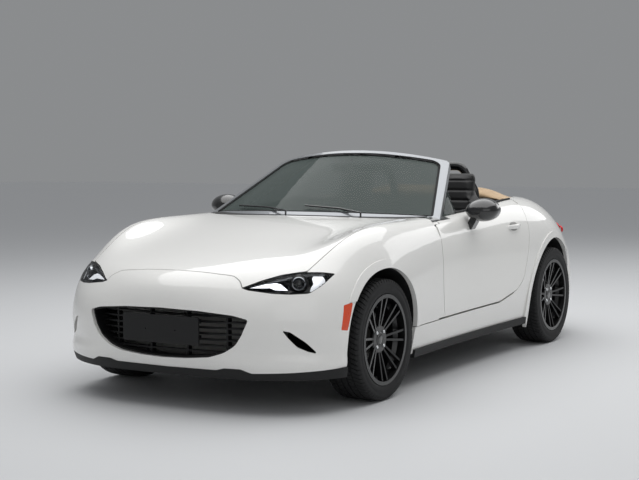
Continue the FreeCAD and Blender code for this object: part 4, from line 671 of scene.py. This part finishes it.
for wheel in WHEELS:
    hub = middle(f"tyre_{wheel}")
    tyre = skinned(tyre_slice(hub))
    opened(tyre)
    bpy.ops.mesh.spin(steps=TREAD_SLICES, dupli=True, angle=math.tau, center=hub, axis=(1, 0, 0))
    closed_up(SLICE_GAP)
    dressed(tyre, f"treaded_tyre_{wheel}", rubber, f"tyre_{wheel}", smooth=28)
    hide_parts(f"tyre_{wheel}")
    print(tyre.name, len(tyre.data.polygons), "faces")

# %% [markdown]
# ## Wheel caps, nuts and valves
# The cap in the middle of each wheel is plain. Four cone-seated nuts hold the wheel, and the valve
# stands in the barrel between two spokes.

# %% Wheel furniture
HUB_FACE = 0.064
NUT_CIRCLE = 0.05
CAP_PROFILE = [(-0.016, 0.0262), (0.0005, 0.0262), (0.0032, 0.0245), (0.0045, 0.021), (0.0052, 0.012),
               (0.0055, 0.0)]
NUT_PROFILE = [(-0.006, 0.0062), (0.0, 0.0105), (0.004, 0.0105), (0.0185, 0.0098), (0.0215, 0.0078),
               (0.0222, 0.0)]
VALVE_PROFILE = [(0.0, 0.0055), (0.012, 0.005), (0.014, 0.0036), (0.026, 0.0036), (0.027, 0.0048),
                 (0.038, 0.0048), (0.0395, 0.0038), (0.04, 0.0)]
for wheel in WHEELS:
    hub = middle(f"tyre_{wheel}")
    out = Vector((1 if hub.x > 0 else -1, 0, 0))
    rim = f"rim_{wheel}"
    cap = spun(CAP_PROFILE, hub + out * HUB_FACE, out, steps=40)
    dressed(cap, f"blank_cap_{wheel}", gloss_black, rim)
    nuts = []
    for turn in range(4):
        angle = math.radians(45 + 90 * turn)
        spot = hub + out * (HUB_FACE - 0.014) + Vector((0, math.cos(angle), math.sin(angle))) * NUT_CIRCLE
        nuts.append(spun(NUT_PROFILE, spot, out, steps=6))
    dressed(rounded(joined(nuts), 0.0007), f"wheel_nuts_{wheel}", chrome, rim)
    valve_foot = hub + out * 0.05 + Vector((0, -0.075, 0.186))
    valve = spun(VALVE_PROFILE, valve_foot, out * 0.9 + Vector((0, 0.15, -0.4)), steps=14)
    dressed(valve, f"tyre_valve_{wheel}", seal_rubber, rim)

# %% [markdown]
# ## Windscreen seal
# The glass is bonded into its frame, and a black ceramic border and a rubber lip hide the glue. The
# band is the outer face of the glass itself, inset once, with its middle taken out.

# %% Black border of the windscreen
SCREEN_OUT = Vector((0, -0.52, 0.85)).normalized()
BAND_WIDTH = 0.016
band = part_of_node("windscreen", lambda spot, way: way.dot(SCREEN_OUT) > 0.6)
opened(band, "FACE")
bpy.ops.mesh.inset(thickness=BAND_WIDTH, use_even_offset=True)
bpy.ops.mesh.delete(type="FACE")
bpy.ops.object.mode_set(mode="OBJECT")
for point in band.data.vertices:
    point.co += SCREEN_OUT * 0.0005
applied(band, "SOLIDIFY", thickness=0.0035, offset=1)
dressed(band, "windscreen_seal", seal_rubber, "windscreen")
print("windscreen seal", len(band.data.polygons), "faces")

# %% [markdown]
# ## Door handles
# A pull handle is a curved bar that stands a finger's width off the door, with both ends running into
# it, over a shallow bowl painted a darker grey as painted shade. The bar is skinned from thirteen oval
# sections.

# %% Pull handles
HANDLE_FROM, HANDLE_TO = 1592, 1772
HANDLE_HEIGHT = 782
OUTSIDE = 1200


def door_skin(behind_axle, z, lift=0.0):
    """Place on the left door's skin, or lifted off it, found by a ray from outside."""
    where = touched("door_left", place(OUTSIDE, behind_axle, z), (-1, 0, 0))
    return Vector(((where.x if where else 0.84) + lift, place(0, behind_axle, 0).y, z / 1000))


def oval_row(centre, half_out, half_up, points=14):
    return [centre + Vector((half_out * math.cos(turn), 0, half_up * math.sin(turn)))
            for turn in (math.tau * index / points for index in range(points + 1))]


handle_rows = []
for step in range(13):
    share = step / 12
    arch = math.sin(math.pi * min(max((share - 0.02) / 0.96, 0), 1)) ** 0.55
    centre = door_skin(HANDLE_FROM + (HANDLE_TO - HANDLE_FROM) * share, HANDLE_HEIGHT + 5 * share,
                       lift=0.026 * arch - 0.004)
    handle_rows.append(oval_row(centre, 0.0055 + 0.002 * arch, 0.010 + 0.005 * arch))
handle = skinned(handle_rows, ring=True, capped=True)
applied(handle, "SUBSURF", levels=1, render_levels=1)
left_and_right(handle, "door_handle", pearl, "door_{}")
bowl_rows = []
for share in (0.0, 0.35, 0.7, 1.0):
    row = []
    for index in range(25):
        turn = math.tau * index / 24
        row.append(door_skin((HANDLE_FROM + HANDLE_TO) / 2 + 62 * share * math.cos(turn),
                             HANDLE_HEIGHT + 2 + 27 * share * math.sin(turn), lift=0.0012 - 0.0006 * share))
    bowl_rows.append(row)
left_and_right(skinned(bowl_rows, ring=True), "handle_recess", painted_shade_recess_finish, "door_{}")

# %% [markdown]
# ## Closing plates at the door's front edge
# The fender's rear edge leaves room for the hinge, so a thin plate in body colour carries its skin on
# to the door's edge, 5 mm short of it. Another, in black, closes the corner at the windscreen's foot.
# Both lie between edges that rays find on the panels themselves.

# %% Fender closing plate
DOOR_CLEARANCE = 5
PLATE_HEIGHTS = [*range(340, 820, 12), *range(820, 886, 5)]
SKIN_FROM = 0.71


def skin_hit(node_name, behind_axle, z):
    """Half width of a left panel's outer skin at a place, found by a ray from the side, or None."""
    where = touched(node_name, place(OUTSIDE, behind_axle, z), (-1, 0, 0))
    return where.x if where and where.x > SKIN_FROM else None


plate_rows = []
for z in PLATE_HEIGHTS:
    fender_edge = next((s for s in range(712, 600, -1) if skin_hit("fender_left", s, z)), None)
    door_edge = next((s for s in range(652, 830) if skin_hit("door_left", s, z)), None)
    if fender_edge is None or door_edge is None or door_edge - fender_edge < DOOR_CLEARANCE + 2:
        continue
    x_from = skin_hit("fender_left", fender_edge, z)
    x_to = skin_hit("door_left", door_edge + 1, z) or x_from
    row = []
    for share in (0.0, 0.34, 0.67, 1.0):
        s = fender_edge + (door_edge - DOOR_CLEARANCE - fender_edge) * share
        ahead = (s - fender_edge) / (door_edge + 1 - fender_edge)
        row.append(Vector((x_from + (x_to - x_from) * ahead - 0.0003, place(0, s, 0).y, z / 1000)))
    plate_rows.append(row)
closing_plate = skinned(plate_rows)
if sum(face.normal.x for face in closing_plate.data.polygons) < 0:
    closing_plate.data.flip_normals()
applied(closing_plate, "SOLIDIFY", thickness=0.0015, offset=-1)
left_and_right(closing_plate, "fender_closing_plate", pearl, "fender_{}")
print("closing plate rows", len(plate_rows))

# %% Corner plate at the windscreen's foot
HINGE_X, HINGE_S = 815, 732
FOOT_REACH = 172
ABOVE = 1400
BELT_HEIGHT = 0.84


def roof_height(x, behind_axle):
    """Height of the fender or the door at a place, found by a ray from above, or None."""
    for node_name in ("fender_left", "door_left"):
        where = touched(node_name, place(x, behind_axle, ABOVE), (0, 0, -1))
        if where and where.z > BELT_HEIGHT:
            return where.z
    return None


corner_rows = []
for x in (706, 722, 738, 754, 770):
    start = next((s for s in range(700, 560, -1) if roof_height(x, s)), 640)
    reach = HINGE_S + math.sqrt(FOOT_REACH ** 2 - (HINGE_X - x) ** 2)
    z_from = roof_height(x, start) or 0.885
    beyond = range(int(reach) + 2, int(reach) + 60)
    z_to = next((roof_height(x, s) for s in beyond if roof_height(x, s)), z_from)
    corner_rows.append([Vector((x / 1000, place(0, start + (reach - start) * share, 0).y,
                                z_from + (z_to - z_from) * share - 0.001))
                        for share in (0, 0.25, 0.5, 0.75, 1)])
corner_plate = skinned(corner_rows)
if sum(face.normal.z for face in corner_plate.data.polygons) < 0:
    corner_plate.data.flip_normals()
applied(corner_plate, "SOLIDIFY", thickness=0.002, offset=-1)
left_and_right(corner_plate, "screen_corner_plate", gloss_black, "cowl")

# %% [markdown]
# ## Belt seals and door trim
# A black rubber seal runs along the top of each door, where the side window rises. Inside, the door
# has an armrest and a round speaker.

# %% Belt seals
SEAL_FROM, SEAL_TO = 830, 1880
seal_rows = []
for step in range(46):
    run = SEAL_FROM + (SEAL_TO - SEAL_FROM) * step / 45
    edge = 716 + 12 * math.sin(math.pi * (run - 700) / 1240)
    door_top = touched("door_left", place(edge, run, ABOVE), (0, 0, -1))
    if door_top:
        centre = Vector((edge / 1000, place(0, run, 0).y, door_top.z + 0.002))
        seal_rows.append(oval_row(centre, 0.010, 0.006, points=10))
left_and_right(skinned(seal_rows, ring=True, capped=True), "belt_seal", seal_rubber, "door_{}")
print("belt seal rows", len(seal_rows))

# %% Armrests and speakers
ARMREST_SIDE = [(1180, 640), (1300, 668), (1560, 676), (1640, 664), (1640, 630), (1500, 612), (1250, 606)]
SPEAKER_PROFILE = [(0.0, 0.082), (0.006, 0.080), (0.009, 0.074), (0.005, 0.070), (0.007, 0.04), (0.008, 0.0)]
for side, sign in SIDES.items():
    door = f"door_{side}"
    armrest = pushed(outlined([place(sign * 704, s, z) for s, z in ARMREST_SIDE]), (-0.046 * sign, 0, 0))
    dressed(rounded(armrest, 0.012, 4), f"door_armrest_{side}", leather, door, smooth=50)
    speaker = spun(SPEAKER_PROFILE, place(sign * 700, 960, 480), (-sign, 0, 0), steps=40)
    dressed(speaker, f"door_speaker_{side}", moulded, door)

# %% [markdown]
# ## Mirror glass
# Each door mirror's glass sits just inside the rear rim of its shell. The inside mirror's glass is a
# rounded slip on its case.

# %% Mirror glass
for side, sign in SIDES.items():
    _, shell_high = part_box(f"mirror_{side}")
    rim = []
    for index in range(36):
        turn = math.tau * index / 36
        rim.append(Vector((sign * 0.880 + 0.082 * math.cos(turn), shell_high.y + 0.0002,
                           0.909 + 0.056 * math.sin(turn))))
    glass = rounded(pushed(outlined(rim), (0, 0.0022, 0)), 0.0008)
    dressed(glass, f"mirror_glass_{side}", mirror_glass, f"mirror_{side}")
_, case_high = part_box("interior_mirror")
slip = pushed(outlined([Vector((0.108 * wide, case_high.y + 0.0002, 1.145 + 0.019 * tall))
                        for wide, tall in squarish_outline(40, 0.35, 0.6)]), (0, 0.0018, 0))
dressed(slip, "inside_mirror_glass", mirror_glass, "interior_mirror")

# %% [markdown]
# ## Tail lamps
# Behind each red cover sit two ring shaped light guides, a wide one for the tail light and a small one
# for the turn signal. The cover and its tub come from the lamp's own solid again.

# %% Tail lamp cover, tub and rings
TAIL_AXIS = mirrored_axis(0.5, 0.85, 0.15)
lamp_shells("tail_lamps", TAIL_AXIS, red_lens, "tail_lamp_covers", "tail_lamp_tubs", 0.03)
REAR_STRETCH = 858 / 845 - 1


def rear_place(x, behind_axle, z):
    """Point whose rear overhang is drawn on the car's real length."""
    beyond = max(behind_axle - 2310, 0)
    return place(x, behind_axle, z) + Vector((0, beyond * REAR_STRETCH / 1000, 0))


LIGHT_GUIDES = (("tail_ring", (628, 2982, 702), 0.036), ("rear_turn_ring", (700, 2875, 700), 0.024))
for name, spot, radius in LIGHT_GUIDES:
    light = spun([(0, radius - 0.006), (0.003, radius - 0.003), (0, radius), (-0.012, radius),
                  (-0.012, radius - 0.006)], rear_place(*spot) - TAIL_AXIS["left"] * 0.02, TAIL_AXIS["left"],
                 closed=True)
    dressed(mirrored_pair(light), name, lamp_red, "tail_lamps")

# %% [markdown]
# ## Exhaust tips
# Two polished tips slide over the tailpipes. Each is a short turned sleeve with a rolled edge.

# %% Exhaust tips
TIP_PROFILE = [(-0.11, 0.0385), (-0.004, 0.0400), (0.0, 0.0392), (0.001, 0.0375), (-0.002, 0.0358),
               (-0.09, 0.0350)]
_, pipe_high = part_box("exhaust")
for index, x in enumerate((0.25, 0.35)):
    tip = spun(TIP_PROFILE, (x, pipe_high.y, 0.245), (0, 1, 0))
    dressed(tip, f"exhaust_tip_{index + 1}", chrome, "exhaust")

# %% [markdown]
# ## Instruments, vents and wheel
# The dashboard's face has round vents with bright rings, three dials under the cowl, and a flat
# screen in the middle. The steering wheel carries a padded boss and satin spokes.

# %% Dashboard furniture
VENT_HEIGHT = 0.79
VENT_BORE = 0.031
BLADE_HALF = 0.0015
VENT_PROFILE = [(-0.02, 0.036), (0.004, 0.040), (0.008, 0.038), (0.006, 0.034), (-0.008, VENT_BORE),
                (-0.008, 0.0)]
for index, x in enumerate((-0.58, -0.12, 0.12, 0.58)):
    vent = spun(VENT_PROFILE, (x, place(0, 1084, 0).y, VENT_HEIGHT), (0, 1, 0.25), steps=32)
    dressed(vent, f"round_vent_{index + 1}", silver, "dashboard")
    blades = []
    for level in (-0.016, 0.0, 0.016):
        wide = math.sqrt(VENT_BORE ** 2 - level ** 2)
        corners = ((-wide, -BLADE_HALF), (wide, -BLADE_HALF), (wide, BLADE_HALF), (-wide, BLADE_HALF))
        blade = outlined([Vector((x + across, place(0, 1080, 0).y, VENT_HEIGHT + level + up))
                          for across, up in corners])
        blades.append(pushed(blade, (0, 0.008, 0)))
    dressed(joined(blades), f"vent_blades_{index + 1}", gloss_black, "dashboard")
CLUSTER_WAY = (0, 0.93, 0.36)
for index, (x, radius) in enumerate(((285, 0.045), (370, 0.055), (455, 0.045))):
    dial = spun([(0.0, radius), (0.004, radius), (0.005, radius - 0.004), (0.001, radius - 0.006),
                 (0.001, 0.0)], place(x, 1072, 838), CLUSTER_WAY, steps=40)
    dressed(dial, f"dial_{index + 1}", silver, "dashboard")
screen_face = [place(100 * wide, 1060 - 8 * tall, 886 + 52 * tall)
               for wide, tall in squarish_outline(32, 0.3, 0.3)]
screen = rounded(pushed(outlined(screen_face), (0, -0.012, 0)), 0.0015)
dressed(screen, "dash_screen", gloss_black, "dashboard")

# %% Steering wheel boss and spokes
WHEEL_CENTRE = place(370, 1230, 752)
COLUMN_TILT = math.radians(24)
WHEEL_OUT = Vector((0, math.cos(COLUMN_TILT), math.sin(COLUMN_TILT)))
WHEEL_UP = WHEEL_OUT.cross(Vector((-1, 0, 0))).normalized()
BOSS_PROFILE = [(0.008, 0.078), (0.016, 0.076), (0.026, 0.066), (0.033, 0.048), (0.037, 0.025), (0.038, 0.0)]
SPOKE_TRIM = ((0.07, -0.018), (0.145, -0.008), (0.145, 0.010), (0.07, 0.022))
boss = spun(BOSS_PROFILE, WHEEL_CENTRE, WHEEL_OUT, steps=40)
dressed(boss, "airbag_cover", dash_skin, "steering_wheel")
for side, sign in SIDES.items():
    spoke = outlined([WHEEL_CENTRE + Vector((sign * run, 0, 0)) + WHEEL_UP * rise + WHEEL_OUT * 0.0062
                      for run, rise in SPOKE_TRIM])
    rounded(pushed(spoke, WHEEL_OUT * 0.004), 0.0015, 3)
    dressed(spoke, f"wheel_spoke_trim_{side}", silver, "steering_wheel")
print("cabin furniture made")

# %% [markdown]
# ## Seats
# A sports seat is foam under leather: a cushion and a back, each with side bolsters that stand up
# from a middle panel sewn in channels. Each pad is skinned from rounded sections, swollen a little
# by a short cloth simulation, and only then gets its sewn channels, because a remesh would wipe them
# out. The right seat is a mirror image of the left.

# %% Pads from sections
BOLSTER_START = 0.5
BOLSTER_CLIMB = 0.25


def bolster(share):
    """Height of the bolster across the pad, from 0 at the middle panel to 1 on its crest."""
    climb = min(max(abs(share) - BOLSTER_START, 0.0) / BOLSTER_CLIMB, 1.0)
    return climb * climb * (3 - 2 * climb)


def pad_row(half_width, face, back, crest, spot_of, points=40):
    """Closed section: its face carries the bolsters. spot_of gives the place of (across, depth)."""
    row = []
    for index in range(points + 1):
        turn = math.tau * index / points
        sine = math.sin(turn)
        share = squarish(math.cos(turn), 0.5)
        run = (face + back) / 2 + (face - back) / 2 * squarish(sine, 0.6)
        if sine > 0:
            run += math.copysign(crest, face - back) * bolster(share) * min(1.0, sine * 2.5)
        row.append(spot_of(share * half_width, run))
    return row


# Each row of the cushion: place behind the axle, top, bottom, half width and bolster height, in mm.
CUSHION_ROWS = [(1246, 338, 272, 196, 8), (1254, 376, 262, 216, 20), (1285, 398, 256, 226, 28),
                (1340, 396, 252, 229, 30), (1420, 388, 250, 230, 31), (1500, 380, 250, 230, 31),
                (1580, 372, 250, 228, 30), (1650, 366, 252, 222, 26), (1690, 358, 258, 210, 20),
                (1700, 340, 270, 190, 8)]
# Each row of the backrest: height, front, rear, half width and bolster height, in mm.
BACK_ROWS = [(372, 1672, 1780, 196, 6), (388, 1668, 1792, 216, 22), (430, 1676, 1806, 226, 34),
             (520, 1706, 1832, 230, 40), (600, 1732, 1852, 230, 42), (680, 1760, 1872, 229, 42),
             (760, 1788, 1892, 226, 40), (830, 1814, 1908, 216, 34), (885, 1832, 1920, 196, 24),
             (925, 1842, 1930, 164, 12), (960, 1850, 1937, 130, 4), (990, 1857, 1940, 116, 2),
             (1030, 1866, 1941, 112, 2), (1070, 1875, 1941, 108, 1), (1092, 1881, 1936, 102, 1),
             (1104, 1888, 1928, 88, 0)]
SEAT_X = 370
PAD_VOXEL = 0.0065
PAD_PRESSURE = 3.5
SWELL_CAP = 0.010


def swollen(piece):
    """The pad remeshed and swollen by cloth pressure for 20 frames, each point held within a cap."""
    applied(piece, "REMESH", mode="VOXEL", voxel_size=PAD_VOXEL)
    before = [point.co.copy() for point in piece.data.vertices]
    alone(piece)
    bpy.ops.object.modifier_add(type="CLOTH")
    cloth = piece.modifiers[-1]
    cloth.settings.quality = 4
    cloth.settings.use_pressure = True
    cloth.settings.uniform_pressure_force = PAD_PRESSURE
    cloth.settings.effector_weights.gravity = 0
    for moment in range(1, 21):
        bpy.context.scene.frame_set(moment)
    bpy.ops.object.modifier_apply(modifier=cloth.name)
    bpy.context.scene.frame_set(1)
    for point, start in zip(piece.data.vertices, before):
        move = point.co - start
        if move.length > SWELL_CAP:
            point.co = start + move * (SWELL_CAP / move.length)


CHANNEL_SPACING = 0.062
CHANNEL_DEPTH = 0.006
VALLEY_WIDTH = 0.006
VALLEY_END = 0.012
SEAM_WIDTH = 0.0045


def channelled(piece, along_y, half_panel, facing):
    """Sewn channels: shallow valleys across the middle panel, and a seam along each bolster."""
    facing = Vector(facing).normalized()
    for point in piece.data.vertices:
        if point.normal.dot(facing) < 0.3:
            continue
        offset = abs(point.co.x - SEAT_X / 1000)
        run = point.co.y if along_y else point.co.z
        valley = 0.0
        if offset < half_panel:
            phase = (run / CHANNEL_SPACING) % 1.0
            valley = math.exp(-((min(phase, 1 - phase) * CHANNEL_SPACING) / VALLEY_WIDTH) ** 2)
            valley *= min(1.0, (half_panel - offset) / VALLEY_END)
        seam = math.exp(-((offset - half_panel) / SEAM_WIDTH) ** 2)
        point.co -= facing * CHANNEL_DEPTH * max(valley, 0.9 * seam)


cushion = skinned([pad_row(half, top, bottom, crest, lambda x, z, s=s: place(SEAT_X + x, s, z))
                   for s, top, bottom, half, crest in CUSHION_ROWS], ring=True, capped=True)
swollen(cushion)
channelled(cushion, True, 0.118, (0, -0.05, 1))
backrest = skinned([pad_row(half, front, rear, crest, lambda x, s, z=z: place(SEAT_X + x, s, z))
                    for z, front, rear, half, crest in BACK_ROWS], ring=True, capped=True)
swollen(backrest)
channelled(backrest, False, 0.112, (0, -0.94, 0.34))

# %% Both seats with their shells
BASE_SIDE = [(1275, 196), (1262, 246), (1300, 262), (1660, 262), (1706, 240), (1690, 196)]
RAIL_SIDE = [(1290, 178), (1290, 200), (1690, 200), (1690, 178)]
for side, sign in SIDES.items():
    seat = f"seat_{side}"
    for pad, name in ((cushion, "cushion"), (backrest, "backrest")):
        leather_pad = pad if side == "left" else duplicate(pad, MIRROR)
        dressed(leather_pad, f"seat_{name}_{side}", leather, seat, smooth=60)
        if name == "cushion":
            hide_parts(seat)
    base = pushed(outlined([place(sign * SEAT_X - 200, s, z) for s, z in BASE_SIDE]), (0.4, 0, 0))
    dressed(rounded(base, 0.012, 3), f"seat_base_{side}", moulded, seat)
    rails = [pushed(outlined([place(sign * SEAT_X + offset - 14, s, z) for s, z in RAIL_SIDE]), (0.028, 0, 0))
             for offset in (-160, 160)]
    dressed(rounded(joined(rails), 0.003), f"seat_rails_{side}", coated_steel, seat)
print("seats", len(cushion.data.polygons), len(backrest.data.polygons), "faces")

# %% [markdown]
# ## The folded top
# The cloth top lies folded behind the seats, its front panel uppermost. It is one sheet that runs up
# over the fold at the front, back over the crown, down the rear and forward again underneath, and it
# droops at both sides. Slow waves along and across it are the cloth's own slackness.

# %% Folded cloth
TOP_LINE = [(2150, 922), (2132, 934), (2124, 952), (2128, 972), (2146, 988), (2176, 1001), (2212, 1009),
            (2250, 1010), (2288, 1003), (2320, 989), (2345, 970), (2358, 951), (2356, 938), (2338, 932),
            (2300, 934), (2250, 938), (2200, 938)]
TOP_HALF = 566
TOP_FOOT = 930
TOP_RISE = 80


def top_spot(share, s, z):
    """Place of the sheet: it narrows and sinks towards its sides."""
    side_way = abs(share)
    sink = 62 * side_way ** 5 + 10 * side_way ** 2
    over = z - TOP_FOOT
    height = TOP_FOOT + over * (1 - 0.35 * side_way ** 4) - sink * max(0.0, over / TOP_RISE)
    back = s - 26 * side_way ** 2 + 14 * math.sin(3 * side_way)
    slack = 2.2 * math.sin(9 * share + s / 40) + 1.4 * math.sin(23 * share - s / 25)
    return place(TOP_HALF * share, back, height + slack * (1 - side_way ** 6))


top_rows = [[top_spot(-1 + index / 30, s, z) for index in range(61)] for s, z in TOP_LINE]
folded_top = skinned(top_rows)
applied(folded_top, "SUBSURF", levels=2, render_levels=2)
applied(folded_top, "SOLIDIFY", thickness=0.003, offset=-1)
dressed(folded_top, "folded_top_cloth", top_cloth, "soft_top", smooth=60)
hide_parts("soft_top")

# %% [markdown]
# ## Floor, light and camera
# A pale floor and three large soft lights, one above, one at the left front and one at the left rear,
# as in a photo studio. The air lights the car evenly, while a Light Path node shows the camera, the
# gloss and the glass a plain grey wall in its place. The camera stands low, at the front left corner,
# with a long lens.

# %% Stage
bpy.ops.object.select_all(action="DESELECT")
bpy.ops.mesh.primitive_plane_add(size=60, location=(0, 0, 0))
floor = bpy.context.object
floor.name = "studio_floor"
floor.data.materials.append(finish_of("pale_studio_floor", "#C9CACB", Roughness=0.6))

world = bpy.data.worlds.new("studio_air")
world.use_nodes = True
bpy.context.scene.world = world
air = world.node_tree.nodes["Background"]
air.inputs["Color"].default_value = linear("#E4E6E9")
air.inputs["Strength"].default_value = 0.55
far_wall = add_node(world, "ShaderNodeBackground", {"Color": linear("#B7B9BB"), "Strength": 0.54})
rays = add_node(world, "ShaderNodeLightPath").outputs
mirrored = add_node(world, "ShaderNodeMath", {"operation": "ADD", "use_clamp": True},
                    {0: rays["Is Glossy Ray"], 1: rays["Is Transmission Ray"]})
seen = add_node(world, "ShaderNodeMath", {"operation": "ADD", "use_clamp": True},
                {0: rays["Is Camera Ray"], 1: mirrored.outputs["Value"]})
air_or_wall = add_node(world, "ShaderNodeMixShader",
                       links={"Fac": seen.outputs["Value"], 1: air.outputs["Background"],
                              2: far_wall.outputs["Background"]})
world_output = world.node_tree.nodes["World Output"]
world.node_tree.links.new(air_or_wall.outputs["Shader"], world_output.inputs["Surface"])


def softbox(name, spot, aim, width, height, power):
    """Rectangular lamp that looks at a point."""
    bpy.ops.object.light_add(type="AREA", location=spot)
    lamp = bpy.context.object
    lamp.name = name
    lamp.data.shape = "RECTANGLE"
    lamp.data.size = width
    lamp.data.size_y = height
    lamp.data.energy = power
    lamp.rotation_euler = (Vector(aim) - Vector(spot)).to_track_quat("-Z", "Y").to_euler()


softbox("overhead_softbox", (0.0, 0.5, 5.2), (0, 0, 0), 8.0, 9.0, 390)
softbox("front_softbox", (5.5, -6.0, 3.0), (0, -0.5, 0.6), 5.0, 3.4, 32)
softbox("rear_softbox", (3.5, 8.0, 3.6), (0, 0.5, 0.6), 5.0, 3.0, 80)

CAMERA_SPOT = place(4008, -6012.5, 1288)
CAMERA_YAW = math.radians(-30.526)
CAMERA_PITCH = math.radians(-4.026)
CAMERA_ROLL = math.radians(-0.346)
LENS_MM = 76.97
ahead = Vector((math.sin(CAMERA_YAW) * math.cos(CAMERA_PITCH), math.cos(CAMERA_YAW) * math.cos(CAMERA_PITCH),
                math.sin(CAMERA_PITCH)))
right = ahead.cross(Vector((0, 0, 1))).normalized()
above = right.cross(ahead)
rolled_right = math.cos(CAMERA_ROLL) * right + math.sin(CAMERA_ROLL) * above
rolled_up = math.cos(CAMERA_ROLL) * above - math.sin(CAMERA_ROLL) * right
turned = Matrix((rolled_right, rolled_up, -ahead)).transposed().to_4x4()
bpy.ops.object.camera_add(location=CAMERA_SPOT)
camera = bpy.context.object
camera.data.lens = LENS_MM
camera.data.sensor_width = 36
camera.matrix_world = Matrix.Translation(CAMERA_SPOT) @ turned
bpy.context.scene.camera = camera
bpy.context.scene.view_settings.view_transform = "Standard"
